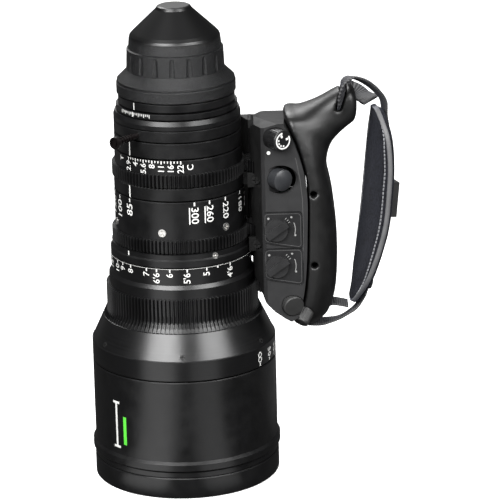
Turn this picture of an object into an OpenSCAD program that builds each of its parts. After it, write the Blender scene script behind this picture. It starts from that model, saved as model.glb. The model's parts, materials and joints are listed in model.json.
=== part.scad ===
// Cinema zoom lens with a servo drive unit, a hand grip and a hand strap.
// The origin is the centre of the front rim's end face. +Z is the optical axis towards the camera,
// the drive unit and grip lie at +X, and -Y is the side that carries the drive's dials.

/* [Front of the lens] */
// Radius of the front rim that clamp-on accessories hold
front_r = 57; // [56.5:0.5:60]
// Front rim height
rim_h = 12.9; // [10:0.1:16]
// How far the rim stands proud of the front tube
rim_proud = 0.6; // [0.2:0.1:1]
// Front tube length
tube_h = 61.3; // [58:0.1:70]
// Front tube wall
tube_wall = 3; // [2.6:0.1:3.4]
// Height of the raised ridge round the front tube
ridge_h = 5.4; // [3:0.1:7]
// How far the ridge stands proud of the tube
ridge_proud = 1.6; // [0.5:0.1:2.5]
// Distance from the rim to the ridge
ridge_gap = 5.1; // [3:0.1:8]
// Depth of the recess for a push-on filter in the rim
recess_depth = 4; // [3:0.1:6]
// Rim round that recess wall
recess_wall = 3.5; // [3:0.1:4.5]

/* [Focus ring] */
// Number of focus gear teeth
focus_teeth = 114; // [112:1:116]
// Height of the wide band at the focus ring's front end
focus_skirt_h = 12.8; // [10:0.1:16]
// Cone height
focus_cone_h = 20; // [18:0.1:24]
// Toothed band height
focus_gear_h = 15.2; // [14:0.1:18]
// Plain band height
focus_plain_h = 6.3; // [5:0.1:8]
// Plain band radius
focus_plain_r = 44.5; // [44:0.1:44.6]
// Bright bevel height
focus_bevel_h = 2.2; // [1.5:0.1:3]
// Distance scale band height
focus_scale_h = 10.6; // [9:0.1:13]
// Distance scale band radius
focus_scale_r = 42.9; // [42.5:0.1:43.4]

/* [Zoom ring] */
// Number of zoom gear teeth
zoom_teeth = 102; // [101:1:103]
// Zoom gear height
zoom_gear_h = 7.8; // [7:0.1:9]
// Focal length band height
zoom_scale_h = 23.6; // [20:0.1:28]
// Focal length band radius
zoom_scale_r = 39.5; // [39.2:0.1:39.7]

/* [Iris ring] */
// Number of iris gear teeth
iris_teeth = 99; // [98:1:100]
// Iris gear height
iris_gear_h = 7.9; // [7:0.1:9]
// Aperture band height
iris_scale_h = 8.7; // [8:0.1:11]
// Aperture band radius
iris_scale_r = 38.6; // [38.2:0.1:38.6]

/* [Fixed rings] */
// Height of the fixed ring with the focus index line
focus_index_h = 7.6; // [7:0.1:10]
// Height of the fixed ring with the zoom index line
zoom_index_h = 7.9; // [7:0.1:10]
// Radius of the fixed ring with the zoom index line
zoom_index_r = 39.4; // [39:0.1:39.6]
// Height of the fixed ring with the iris index line
iris_index_h = 9.6; // [8:0.1:12]
// Radius of the fixed rings at the rear of the barrel
rear_r = 38.4; // [38:0.1:38.8]
// Running gap between two rings along the axis
ring_gap = 0.6; // [0.3:0.1:0.9]
// Wall between a ring's outside and the barrel that it runs on
ring_wall = 3.65; // [3.3:0.05:3.8]

/* [Rear of the lens] */
// Macro ring height
macro_h = 6.8; // [6.4:0.1:8]
// Height of the fixed collar behind the macro ring
collar_h = 5.4; // [4:0.1:7]
// Flange focus ring height
flange_ring_h = 3.4; // [3:0.1:5]
// Flange focus ring radius
flange_ring_r = 36.6; // [36.2:0.1:37]
// Height of the base ring under the camera mount
base_ring_h = 5; // [4:0.1:6]
// Base ring radius
base_ring_r = 35.2; // [35:0.1:35.6]
// Height of the steel mount from the base ring to the flange face
mount_h = 7.5; // [7:0.1:9]
// Mount's round body radius
mount_r = 31; // [30.6:0.1:31.4]
// Four mount lugs radius
lug_r = 34; // [33.6:0.1:34.1]
// Lugs thickness
lug_h = 3; // [2.5:0.1:3.5]
// Width of each lug as an angle
lug_angle = 40; // [30:1:50]
// Radius of the spigot that enters the camera
spigot_r = 27; // [26.8:0.1:27]
// Spigot length
spigot_h = 13.5; // [12:0.1:14.5]

/* [Rear cap] */
// Height of the cap above the flange face
cap_h = 45.5; // [44:0.1:48]
// Number of finger flutes round the cap
cap_flutes = 18; // [12:1:20]
// Cap wall
cap_wall = 1.6; // [1.4:0.1:1.8]

/* [Knob on the macro ring] */
// Position of the knob round the barrel, from the dial side towards the grip
macro_knob_az = -38; // [-60:1:-20]
// Distance that the knob stands out of the ring
macro_knob_reach = 21; // [15:0.5:24]
// Knob's head radius
macro_head_r = 3.6; // [3:0.1:4.5]

/* [Drive unit] */
// Reach of the drive unit and its grip away from the barrel
drive_reach = 65; // [62:0.5:70]
// Half depth of the drive unit
drive_depth = 28; // [27:0.5:31]
// Drive housing wall
drive_wall = 2.2; // [2:0.1:2.6]
// Three drive motors radius
motor_r = 6.2; // [5:0.1:6.3]
// Length of each motor
motor_h = 17; // [14:0.5:17.5]
// Number of teeth on each drive pinion
pinion_teeth = 32; // [32:1:33]
// Height of each drive pinion
pinion_h = 7; // [5:0.1:7.4]
// Mode dial radius
dial_r = 6.4; // [5.5:0.1:6.8]
// Mode dial height
dial_h = 12; // [11:0.1:14]
// Large round button radius
quick_r = 6.5; // [5.5:0.1:6.8]
// Large round button height
quick_h = 9; // [8:0.1:11]
// Two selector knobs radius
selector_r = 6.8; // [6:0.1:7.4]
// Large connector cap radius
socket_r = 6.4; // [6:0.1:6.6]
// Zoom rocker width
rocker_w = 15; // [12:0.5:16]
// Zoom rocker length
rocker_len = 36; // [30:0.5:38]

/* [Hand strap] */
// Thickness of the strap pad at its border
pad_t = 5; // [4:0.1:6]
// How far the pad's inner face swells towards the hand
pad_crown = 1.6; // [0.5:0.1:2.4]
// Depth of the sewn channel round the pad
pad_channel = 0.9; // [0.3:0.1:1.2]
// Webbing thickness
web_t = 1.6; // [1.2:0.1:1.8]
// Webbing width
web_w = 14; // [12:0.5:15]

/* [Hidden] */

// Clearances and overruns
over = 1;
fit_gap = 0.03;
run_gap = 0.05;
soft_gap = 0.4;
seam_gap = 0.2;
edge = 0.5;
slices = 96;
$fn = slices;
index_screw_r = 2.4;
index_small_r = 1.9;
index_screw_h = 1.2;

// Teeth
gear_module = 0.8;
pressure_angle = 20;
backlash = 0.12;
dedendum_share = 1.25;
function pitch_r(n) = gear_module * n / 2;
function tip_r(n) = pitch_r(n) + gear_module;
function root_r(n) = pitch_r(n) - dedendum_share * gear_module;

// Levels along the axis, from the front rim to the flange
z_tube = rim_h + tube_h;
z_skirt = z_tube + ring_gap;
z_cone = z_skirt + focus_skirt_h;
z_focus_gear = z_cone + focus_cone_h;
z_focus_plain = z_focus_gear + focus_gear_h;
z_focus_bevel = z_focus_plain + focus_plain_h;
z_focus_scale = z_focus_bevel + focus_bevel_h;
z_focus_end = z_focus_scale + focus_scale_h;
z_focus_index = z_focus_end + ring_gap;
z_zoom_gear = z_focus_index + focus_index_h + ring_gap;
z_zoom_scale = z_zoom_gear + zoom_gear_h;
z_zoom_end = z_zoom_scale + zoom_scale_h;
z_zoom_index = z_zoom_end + ring_gap;
z_iris_gear = z_zoom_index + zoom_index_h + ring_gap;
z_iris_scale = z_iris_gear + iris_gear_h;
z_iris_end = z_iris_scale + iris_scale_h;
z_iris_index = z_iris_end + ring_gap;
z_macro = z_iris_index + iris_index_h + ring_gap;
z_collar = z_macro + macro_h + ring_gap;
z_flange_ring = z_collar + collar_h + ring_gap;
z_base_ring = z_flange_ring + flange_ring_h + ring_gap;
z_mount = z_base_ring + base_ring_h;
flange_z = z_mount + mount_h;

// Radii of the front shells
tube_r = front_r - rim_proud;
tube_in_r = tube_r - tube_wall;
barrel_front_r = tube_in_r - fit_gap;
barrel_wall = 3;
carriage_bore_r = barrel_front_r - barrel_wall;
skirt_step_share = 0.1;
skirt_r = tube_r - skirt_step_share * rim_proud;
skirt_gap = 0.4;
skirt_in_r = tube_in_r + skirt_gap;
cone_wall = skirt_r - skirt_in_r;
function seat_r(r) = r - run_gap + fit_gap;

// Bearing radii of the barrel under each ring
focus_run_r = focus_scale_r - ring_wall;
zoom_run_r = zoom_scale_r - ring_wall;
iris_run_r = rear_r - ring_wall;
rear_run_r = base_ring_r - 0.66 * ring_wall;
sleeve_bore_r = iris_run_r - 0.75 * ring_wall;
relay_bore_r = rear_run_r - ring_wall;
barrel_entry = 16.2;
barrel_cone_lead = 1.1;
barrel_neck_lead = 6.6;
relay_lead = 1.8;
z_barrel = z_tube - barrel_entry;
z_barrel_cone = z_cone - barrel_cone_lead;
z_barrel_neck = z_focus_gear - barrel_neck_lead;
z_relay = z_iris_end - relay_lead;

module up(z) {
    translate([0, 0, z])
        children();
}
module turned(points) {
    rotate_extrude()
        polygon(points);
}
module disc_ring(r_in, r_out, z, h) {
    up(z)
        difference() {
            cylinder(r = r_out, h = h);
            up(-over)
                cylinder(r = r_in, h = h + 2 * over);
        }
}

// A ring with its two outer edges broken
module soft_ring(r_in, r_out, z, h, c = edge) {
    turned([[r_in, z], [r_out - c, z], [r_out, z + c], [r_out, z + h - c],
        [r_out - c, z + h], [r_in, z + h]]);
}

// Azimuth 0 is the dial side, 90 the grip side
module at_azimuth(az) {
    rotate([0, 0, az - 90])
        children();
}

// On a ring's side, with the own axis pointing out
module on_ring(az, r, z) {
    at_azimuth(az)
        translate([r, 0, z])
            rotate([0, 90, 0])
                children();
}
// A round seat for a screw head whose top face is at z = 0
module screw_seat(r, head_h) {
    up(-head_h)
        cylinder(r = r + fit_gap, h = 2 * head_h);
}

// A screw head with a cross recess and a short shank, its top face up at z = 0
cross_share = [0.3, 1.5, 0.7];
module cross_screw(r, head_h, shank_h) {
    difference() {
        union() {
            up(-head_h)
                cylinder(r = r, h = head_h);
            up(-head_h - shank_h)
                cylinder(r = r / 2, h = shank_h + head_h / 2);
        }
        for (turn = [0, 90])
            rotate([0, 0, turn])
                cube([r * cross_share[0], r * cross_share[1], 2 * head_h * cross_share[2]], center = true);
    }
}

// Gear outlines, with straight chords along the true flank curve
function flank_turn(a) = tan(a) * 180 / PI - a;
function tooth_half(r, n) =
    let (base = pitch_r(n) * cos(pressure_angle), a = acos(min(1, base / max(r, base))))
        90 / n - backlash / 2 / pitch_r(n) * 180 / PI + flank_turn(pressure_angle) - flank_turn(a);
function tooth_side(n, outer) = let (top = tip_r(n) + (outer > 0 ? gear_module / 2 : 0))
    [for (r = [root_r(n), pitch_r(n), top]) [r, tooth_half(r, n)],
        if (outer > 0) [outer, tooth_half(top, n)]];
function gear_outline(n, outer = 0) =
    let (side = tooth_side(n, outer), last = len(side) - 1)
        [for (i = [0:n - 1]) each concat(
            [for (k = [0:last]) let (a = i * 360 / n - side[k][1]) side[k][0] * [cos(a), sin(a)]],
            [for (k = [last:-1:0]) let (a = i * 360 / n + side[k][1]) side[k][0] * [cos(a), sin(a)]])];

// Teeth of a barrel ring, with a gap between two teeth facing the grip
module ring_teeth(n, z, h, outer = 0) {
    up(z)
        rotate([0, 0, 180 / n])
            linear_extrude(h)
                polygon(gear_outline(n, outer));
}

// Smooth curve through rows of numbers
function curve(a, b, c, d, t) = 0.5 * (2 * b + (c - a) * t
    + (2 * a - 5 * b + 4 * c - d) * t * t + (3 * b - a - 3 * c + d) * t * t * t);
function smooth_rows(rows, steps) = let (last = len(rows) - 1)
    [for (i = [0:last - 1]) for (j = [0:steps - 1])
        curve(rows[max(i - 1, 0)], rows[i], rows[i + 1], rows[min(i + 2, last)], j / steps), rows[last]];

// A closed skin over a list of outlines that all have the same number of points
module skin(rings) {
    m = len(rings[0]);
    last = len(rings) - 1;
    polyhedron(
        points = concat([for (ring = rings) each ring],
            [for (k = [0, last]) [for (c = [0:2]) mean_at(rings[k], c)]]),
        faces = concat(
            [for (i = [0:last - 1]) for (j = [0:m - 1]) let (q = (j + 1) % m)
                each [[i * m + j, (i + 1) * m + j, (i + 1) * m + q], [i * m + j, (i + 1) * m + q, i * m + q]]],
            [for (j = [0:m - 1]) [(last + 1) * m, j, (j + 1) % m]],
            [for (j = [0:m - 1]) [(last + 1) * m + 1, last * m + (j + 1) % m, last * m + j]]));
}
function mean_at(ring, c) = let (all = [for (p = ring) p[c]]) sum(all) / len(all);
function sum(list, i = 0) = i == len(list) ? 0 : list[i] + sum(list, i + 1);
function unit(v) = v / norm(v);

// Front rim, tube and front lens
rim_spigot_h = 7.2;
rim_lip = 2.6;
module front_rim() {
    color([0.07, 0.07, 0.07])
        turned([[front_r - recess_wall, 0], [front_r - edge, 0], [front_r, edge], [front_r, rim_h - edge],
            [front_r - edge, rim_h], [tube_in_r - fit_gap, rim_h], [tube_in_r - fit_gap, rim_h + rim_spigot_h],
            [tube_in_r - rim_lip, rim_h + rim_spigot_h], [tube_in_r - rim_lip, recess_depth],
            [front_r - recess_wall, recess_depth]]);
}
module front_tube() {
    z_ridge = rim_h + ridge_gap;
    color([0.08, 0.08, 0.08])
        turned([[tube_in_r, rim_h], [tube_r - edge, rim_h], [tube_r, rim_h + edge],
            [tube_r, z_ridge - ridge_proud],
            [tube_r + ridge_proud, z_ridge], [tube_r + ridge_proud, z_ridge + ridge_h - ridge_proud],
            [tube_r, z_ridge + ridge_h], [tube_r, z_tube - edge], [tube_r - edge, z_tube],
            [tube_in_r, z_tube]]);
}
glass_seat = 4;
glass_r = tube_in_r - glass_seat;
glass_h = 15;
glass_front_bend = 160;
glass_back_bend = 420;
second_glass_h = 11;
cell_lip = 2.4;
z_front_cell = rim_h + rim_spigot_h;
z_glass = z_front_cell + glass_seat;
z_second_glass = z_glass + glass_h + 1.5 * cell_lip;
front_cell_h = z_barrel - 2 * ring_gap - z_front_cell;

// A round lens with two bulging faces, the front one's top at z = 0
function sag(r, bend) = bend - sqrt(bend * bend - r * r);
module glass(r, h, front_bend, back_bend) {
    turned(concat([for (s = [0:0.2:1]) [s * r, sag(s * r, front_bend)]],
        [for (s = [1:-0.2:0]) [s * r, h - sag(s * r, back_bend)]]));
}
module front_lens_cell() {
    color([0.05, 0.05, 0.05])
        difference() {
            disc_ring(glass_r - 2 * cell_lip, tube_in_r - fit_gap, z_front_cell, front_cell_h);
            up(z_front_cell - over)
                cylinder(r = glass_r + fit_gap, h = z_glass + glass_h - z_front_cell + over);
            up(z_second_glass)
                cylinder(r = glass_r - cell_lip + fit_gap, h = front_cell_h);
        }
}
// Ribbed baffle that holds the front glass and hides its rim
module front_retainer() {
    color([0.04, 0.04, 0.04])
        turned([[tube_in_r - rim_lip - fit_gap, recess_depth],
            [tube_in_r - rim_lip - fit_gap, z_front_cell - fit_gap],
            [glass_r - fit_gap, z_front_cell - fit_gap], [glass_r - fit_gap, z_glass + cell_lip],
            [glass_r - cell_lip / 2, z_glass + cell_lip], [glass_r - cell_lip / 2, z_front_cell],
            [tube_in_r - 2 * rim_lip, recess_depth]]);
}
module front_element() {
    color([0.25, 0.2, 0.35, 0.6])
        up(z_glass)
            glass(glass_r, glass_h, glass_front_bend, glass_back_bend);
}
module second_element() {
    color([0.25, 0.25, 0.35, 0.6])
        up(z_second_glass)
            glass(glass_r - cell_lip, second_glass_h, glass_back_bend, glass_back_bend);
}

// Main barrel: the fixed tube that every ring runs on
zoom_slot_turn = 120;
iris_slot_turn = 60;
iris_pin_start = -60;
drive_pin_r = 1.5;
slot_play = 0.4;
slot_end_turn = 3.6;
zoom_pin_z = z_zoom_scale + zoom_scale_h / 2;
iris_pin_z = z_iris_gear + iris_gear_h / 2;
module arc_slot(z, start, turn) {
    half = drive_pin_r + slot_play;
    rotate([0, 0, start - slot_end_turn])
        rotate_extrude(angle = turn + 2 * slot_end_turn)
            translate([sleeve_bore_r - over, z - half])
                square([zoom_run_r - sleeve_bore_r + 2 * over, 2 * half]);
}
module main_barrel() {
    color([0.3, 0.3, 0.32])
        difference() {
            turned([[carriage_bore_r, z_barrel], [barrel_front_r, z_barrel], [barrel_front_r, z_barrel_cone],
                [focus_run_r - run_gap, z_barrel_neck], [focus_run_r - run_gap, z_zoom_gear - ring_gap / 2],
                [zoom_run_r - run_gap, z_zoom_gear - ring_gap / 2],
                [zoom_run_r - run_gap, z_iris_gear - ring_gap / 2],
                [iris_run_r - run_gap, z_iris_gear - ring_gap / 2],
                [iris_run_r - run_gap, z_flange_ring - ring_gap / 2],
                [rear_run_r - run_gap, z_flange_ring - ring_gap / 2], [rear_run_r - run_gap, z_mount],
                [relay_bore_r, z_mount], [relay_bore_r, z_relay], [sleeve_bore_r, z_relay],
                [sleeve_bore_r, z_barrel_neck + cell_lip], [carriage_bore_r, z_barrel_cone + cell_lip / 4]]);
            for (start = [90, 270])
                arc_slot(zoom_pin_z, start, zoom_slot_turn);
            arc_slot(iris_pin_z, iris_pin_start, iris_slot_turn);
        }
}

// Focus ring: skirt band, cone, gear, plain band, bevel and scale band in one piece
tooth_run_share = 0.28;
runout_top_share = 0.3;
module focus_ring() {
    root = root_r(focus_teeth);
    tip = tip_r(focus_teeth);
    cone_slope = (skirt_r - edge - tip) / focus_cone_h;
    z_run = z_focus_gear - tooth_run_share * focus_cone_h;
    run_r = tip + cone_slope * tooth_run_share * focus_cone_h;
    z_root = z_focus_gear + runout_top_share * focus_gear_h;
    z_bore = z_focus_gear + edge;
    color([0.12, 0.12, 0.12])
        difference() {
            turned([[skirt_in_r, z_skirt], [skirt_r - edge, z_skirt], [skirt_r, z_skirt + edge],
                [skirt_r, z_cone - edge], [skirt_r - edge, z_cone], [tip, z_focus_gear],
                [tip, z_focus_plain - edge / 2], [tip - edge / 2, z_focus_plain],
                [focus_plain_r, z_focus_plain], [focus_plain_r, z_focus_bevel],
                [focus_scale_r, z_focus_scale], [focus_scale_r, z_focus_end - edge / 2],
                [focus_scale_r - edge / 2, z_focus_end], [focus_run_r, z_focus_end], [focus_run_r, z_bore],
                [tip - cone_wall, z_bore], [skirt_in_r, z_cone]]);
            cone_screw_places()
                screw_seat(cone_screw_r, cone_screw_h);
            intersection() {
                turned(concat([[run_r + over, z_focus_plain + over]],
                    [for (t = [0:0.25:1]) [run_r + over - (run_r + over - root - fit_gap) * sin(90 * t),
                        z_root - (z_root - z_run) * cos(90 * t)]],
                    [[root + fit_gap, z_focus_plain + over]]));
                up(z_run - over)
                    linear_extrude(z_focus_plain - z_run + 3 * over)
                        difference() {
                            circle(r = run_r + 2 * over);
                            rotate(180 / focus_teeth)
                                polygon(gear_outline(focus_teeth, run_r + 3 * over));
                        }
            }
        }
}
cone_screw_r = 1.6;
cone_screw_h = 1.2;
cone_screw_share = 0.12;
module on_cone(az, share) {
    tip = tip_r(focus_teeth);
    r = skirt_r - edge - (skirt_r - edge - tip) * share;
    at_azimuth(az)
        translate([r, 0, z_cone + share * focus_cone_h])
            rotate([0, 90 - atan((skirt_r - edge - tip) / focus_cone_h), 0])
                children();
}
module cone_screw_places() {
    for (az = [-60, 0, 60, 120, 180, 240])
        on_cone(az, cone_screw_share)
            up(cone_screw_h / 4)
                children();
}
module focus_ring_screws() {
    color([0.3, 0.3, 0.3])
        cone_screw_places()
            cross_screw(cone_screw_r, cone_screw_h - fit_gap, 0);
}

// Fixed ring with the focus index line and the drive unit's front fixing pad
index_lip = 0.9;
pad_half_w = 5;
pad_reach = 5.6;
drive_gap = 0.7;
drive_x = focus_scale_r + drive_gap;
module drive_pad(z, h, inner_r) {
    intersection() {
        translate([0, -pad_half_w, z])
            cube([drive_x + pad_reach, 2 * pad_half_w, h]);
        disc_ring(inner_r, drive_x + 2 * pad_reach, z - over, h + 2 * over);
    }
}
pad_screw_up_share = 0.6;
function pad_screw_z(z, h) = z + h * pad_screw_up_share;
pad_screw_r = 1.6;
pad_screw_x = drive_x + pad_reach / 2;
fixed_rings = [[z_zoom_index, zoom_index_h], [z_focus_index, focus_index_h]];
module pad_screw_hole(z, h) {
    translate([pad_screw_x, -pad_half_w - over, pad_screw_z(z, h)])
        rotate([-90, 0, 0])
            cylinder(r = pad_screw_r + slot_play / 4, h = pad_half_w + 3 * over);
}
module focus_index_ring() {
    color([0.1, 0.1, 0.1])
        difference() {
            union() {
                turned([[seat_r(focus_run_r), z_focus_index], [focus_scale_r, z_focus_index],
                    [focus_scale_r, z_focus_index + focus_index_h / 2],
                    [focus_scale_r - index_lip, z_focus_index + focus_index_h / 2 + index_lip],
                    [focus_scale_r - index_lip, z_focus_index + focus_index_h],
                    [seat_r(focus_run_r), z_focus_index + focus_index_h]]);
                drive_pad(z_focus_index, focus_index_h, focus_run_r + ring_wall / 2);
            }
            pad_screw_hole(z_focus_index, focus_index_h);
            index_screw_places()
                screw_seat(index_small_r, index_screw_h);
        }
}
module index_screw_places() {
    for (az = [30, 150, 210, 270])
        on_ring(az, focus_scale_r - index_lip + index_screw_h / 4, z_focus_index + 0.72 * focus_index_h)
            children();
}
module focus_index_screws() {
    color([0.8, 0.8, 0.8])
        index_screw_places()
            cross_screw(index_small_r, index_screw_h - fit_gap, 0);
}

// Zoom ring: gear and focal length band
module zoom_ring() {
    n = zoom_teeth;
    color([0.1, 0.1, 0.1])
        union() {
            difference() {
                turned([[zoom_run_r, z_zoom_gear], [root_r(n) + fit_gap, z_zoom_gear],
                    [root_r(n) + fit_gap, z_zoom_scale],
                    [zoom_scale_r, z_zoom_scale], [zoom_scale_r, z_zoom_end - edge],
                    [zoom_scale_r - edge, z_zoom_end], [zoom_run_r, z_zoom_end]]);
                zoom_screw_places()
                    screw_seat(index_screw_r, index_screw_h);
            }
            intersection() {
                soft_ring(root_r(n) - edge, tip_r(n), z_zoom_gear, zoom_gear_h, edge / 2);
                ring_teeth(n, z_zoom_gear - over, zoom_gear_h + 2 * over);
            }
        }
}
module zoom_screw_places() {
    for (az = [-15, 45, 105, 165, 225, 285])
        on_ring(az, zoom_scale_r + index_screw_h / 4, z_zoom_scale + 0.2 * zoom_scale_h)
            children();
}
module zoom_ring_screws() {
    color([0.8, 0.8, 0.8])
        zoom_screw_places()
            cross_screw(index_screw_r, index_screw_h - fit_gap, 0);
}
sleeve_wall = 2;
z_sleeve = z_barrel_neck + 2.5 * cell_lip;
sleeve_h = z_zoom_index + zoom_index_h / 2 - z_sleeve;
module zoom_cam_sleeve() {
    color([0.7, 0.6, 0.3])
        union() {
            disc_ring(sleeve_bore_r - sleeve_wall, sleeve_bore_r - run_gap, z_sleeve, sleeve_h);
            for (a = [90, 270])
                rotate([0, 0, a])
                    translate([sleeve_bore_r - sleeve_wall / 2, 0, zoom_pin_z])
                        rotate([0, 90, 0])
                            cylinder(r = drive_pin_r,
                                h = zoom_run_r - sleeve_bore_r + sleeve_wall / 2 - fit_gap);
        }
}
module zoom_index_ring() {
    color([0.1, 0.1, 0.1])
        difference() {
            union() {
                soft_ring(seat_r(zoom_run_r), zoom_index_r, z_zoom_index, zoom_index_h);
                drive_pad(z_zoom_index, zoom_index_h, zoom_run_r + ring_wall / 2);
            }
            pad_screw_hole(z_zoom_index, zoom_index_h);
        }
}

// Iris ring: gear and aperture band, with the pin that turns the iris unit
module iris_ring() {
    n = iris_teeth;
    color([0.1, 0.1, 0.1])
        union() {
            turned([[iris_run_r, z_iris_gear], [root_r(n) + fit_gap, z_iris_gear],
                [root_r(n) + fit_gap, z_iris_scale],
                [iris_scale_r, z_iris_scale], [iris_scale_r, z_iris_end - edge],
                [iris_scale_r - edge, z_iris_end], [iris_run_r, z_iris_end]]);
            intersection() {
                soft_ring(root_r(n) - edge, tip_r(n), z_iris_gear, iris_gear_h, edge / 2);
                ring_teeth(n, z_iris_gear - over, iris_gear_h + 2 * over);
            }
            translate([sleeve_bore_r + slot_play, 0, iris_pin_z])
                rotate([0, 90, 0])
                    cylinder(r = drive_pin_r, h = iris_run_r - sleeve_bore_r + over);
        }
}
module iris_index_ring() {
    color([0.1, 0.1, 0.1])
        soft_ring(seat_r(iris_run_r), rear_r, z_iris_index, iris_index_h);
}
knob_shaft_r = 1.6;
knob_travel = 1.5;
module macro_ring() {
    color([0.1, 0.1, 0.1])
        difference() {
            soft_ring(iris_run_r, rear_r, z_macro, macro_h);
            on_ring(macro_knob_az, iris_run_r + over, z_macro + macro_h / 2)
                cylinder(r = knob_shaft_r + run_gap, h = ring_wall + over);
        }
}
knob_head_h = 2.6;
knob_rib_h = 1.1;
knob_ribs = 6;
module macro_knob() {
    color([0.3, 0.25, 0.25])
        on_ring(macro_knob_az, iris_run_r + over + ring_gap / 2, z_macro + macro_h / 2)
            union() {
                length = macro_knob_reach + ring_wall - over - ring_gap / 2;
                cylinder(r = knob_shaft_r, h = length);
                for (k = [0:knob_ribs - 1])
                    up(length - knob_head_h - (2 * k + 2) * knob_rib_h)
                        cylinder(r = knob_shaft_r + knob_rib_h / 2, h = knob_rib_h);
                up(length - knob_head_h)
                    difference() {
                        cylinder(r = macro_head_r, h = knob_head_h);
                        up(knob_head_h * 0.6)
                            cylinder(r = macro_head_r * 0.7, h = knob_head_h);
                    }
            }
}
module rear_collar() {
    color([0.1, 0.1, 0.1])
        turned([[seat_r(iris_run_r), z_collar], [rear_r, z_collar], [rear_r, z_collar + collar_h / 2],
            [rear_r - index_lip, z_collar + collar_h], [seat_r(iris_run_r), z_collar + collar_h]]);
}
module flange_focus_ring() {
    color([0.1, 0.1, 0.1])
        soft_ring(rear_run_r, flange_ring_r, z_flange_ring, flange_ring_h, edge / 2);
}
module mount_base_ring() {
    color([0.1, 0.1, 0.1])
        soft_ring(seat_r(rear_run_r), base_ring_r, z_base_ring, base_ring_h);
}

// Camera mount: round body, four lugs, a locating notch and the spigot
spigot_wall = 3;
notch_r = 2;
mount_screw_step = 2;
mount_screw_ring_r = spigot_r + mount_screw_step;
mount_screw_r = 1.4;
mount_screw_h = 1.6;
mount_screw_count = 6;
module mount_screw_places() {
    for (k = [0:mount_screw_count - 1])
        rotate([0, 0, k * 360 / mount_screw_count])
            translate([mount_screw_ring_r, 0, flange_z])
                children();
}
module lens_mount() {
    color([0.75, 0.75, 0.77])
        difference() {
            union() {
                up(z_mount)
                    cylinder(r = mount_r, h = mount_h);
                for (k = [0:3])
                    rotate([0, 0, 45 + 90 * k - lug_angle / 2])
                        rotate_extrude(angle = lug_angle)
                            translate([mount_r - over, flange_z - lug_h])
                                square([lug_r - mount_r + over, lug_h]);
                up(flange_z - over)
                    cylinder(r = spigot_r, h = spigot_h + over);
            }
            up(z_mount - over)
                cylinder(r = relay_bore_r - spigot_wall, h = mount_h + 2 * over);
            up(z_mount)
                cylinder(r = spigot_r - spigot_wall, h = mount_h + spigot_h + over);
            rotate([0, 0, 45])
                translate([lug_r, 0, flange_z - lug_h - over])
                    cylinder(r = notch_r, h = lug_h + 2 * over);
            mount_screw_places()
                up(-mount_screw_h)
                    cylinder(r = mount_screw_r + fit_gap, h = mount_screw_h + over);
        }
}
module mount_screws() {
    color([0.5, 0.5, 0.5])
        mount_screw_places()
            up(-fit_gap)
                cross_screw(mount_screw_r, mount_screw_h - fit_gap, 0);
}
rear_glass_h = 7;
rear_glass_bend = 60;
rear_ring_h = 2.5;
z_rear_glass = flange_z + spigot_h - rear_glass_h - rear_ring_h - over;
rear_glass_r = spigot_r - spigot_wall - cell_lip;
module rear_element() {
    color([0.3, 0.3, 0.45, 0.6])
        up(z_rear_glass)
            glass(rear_glass_r, rear_glass_h, 3 * rear_glass_bend, rear_glass_bend);
}
module rear_element_retainer() {
    color([0.05, 0.05, 0.05])
        difference() {
            disc_ring(rear_glass_r - cell_lip / 2, spigot_r - spigot_wall - fit_gap, z_mount,
                flange_z + spigot_h - z_mount - over);
            up(z_rear_glass - fit_gap)
                cylinder(r = rear_glass_r + fit_gap, h = rear_glass_h + 2 * fit_gap);
        }
}

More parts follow.
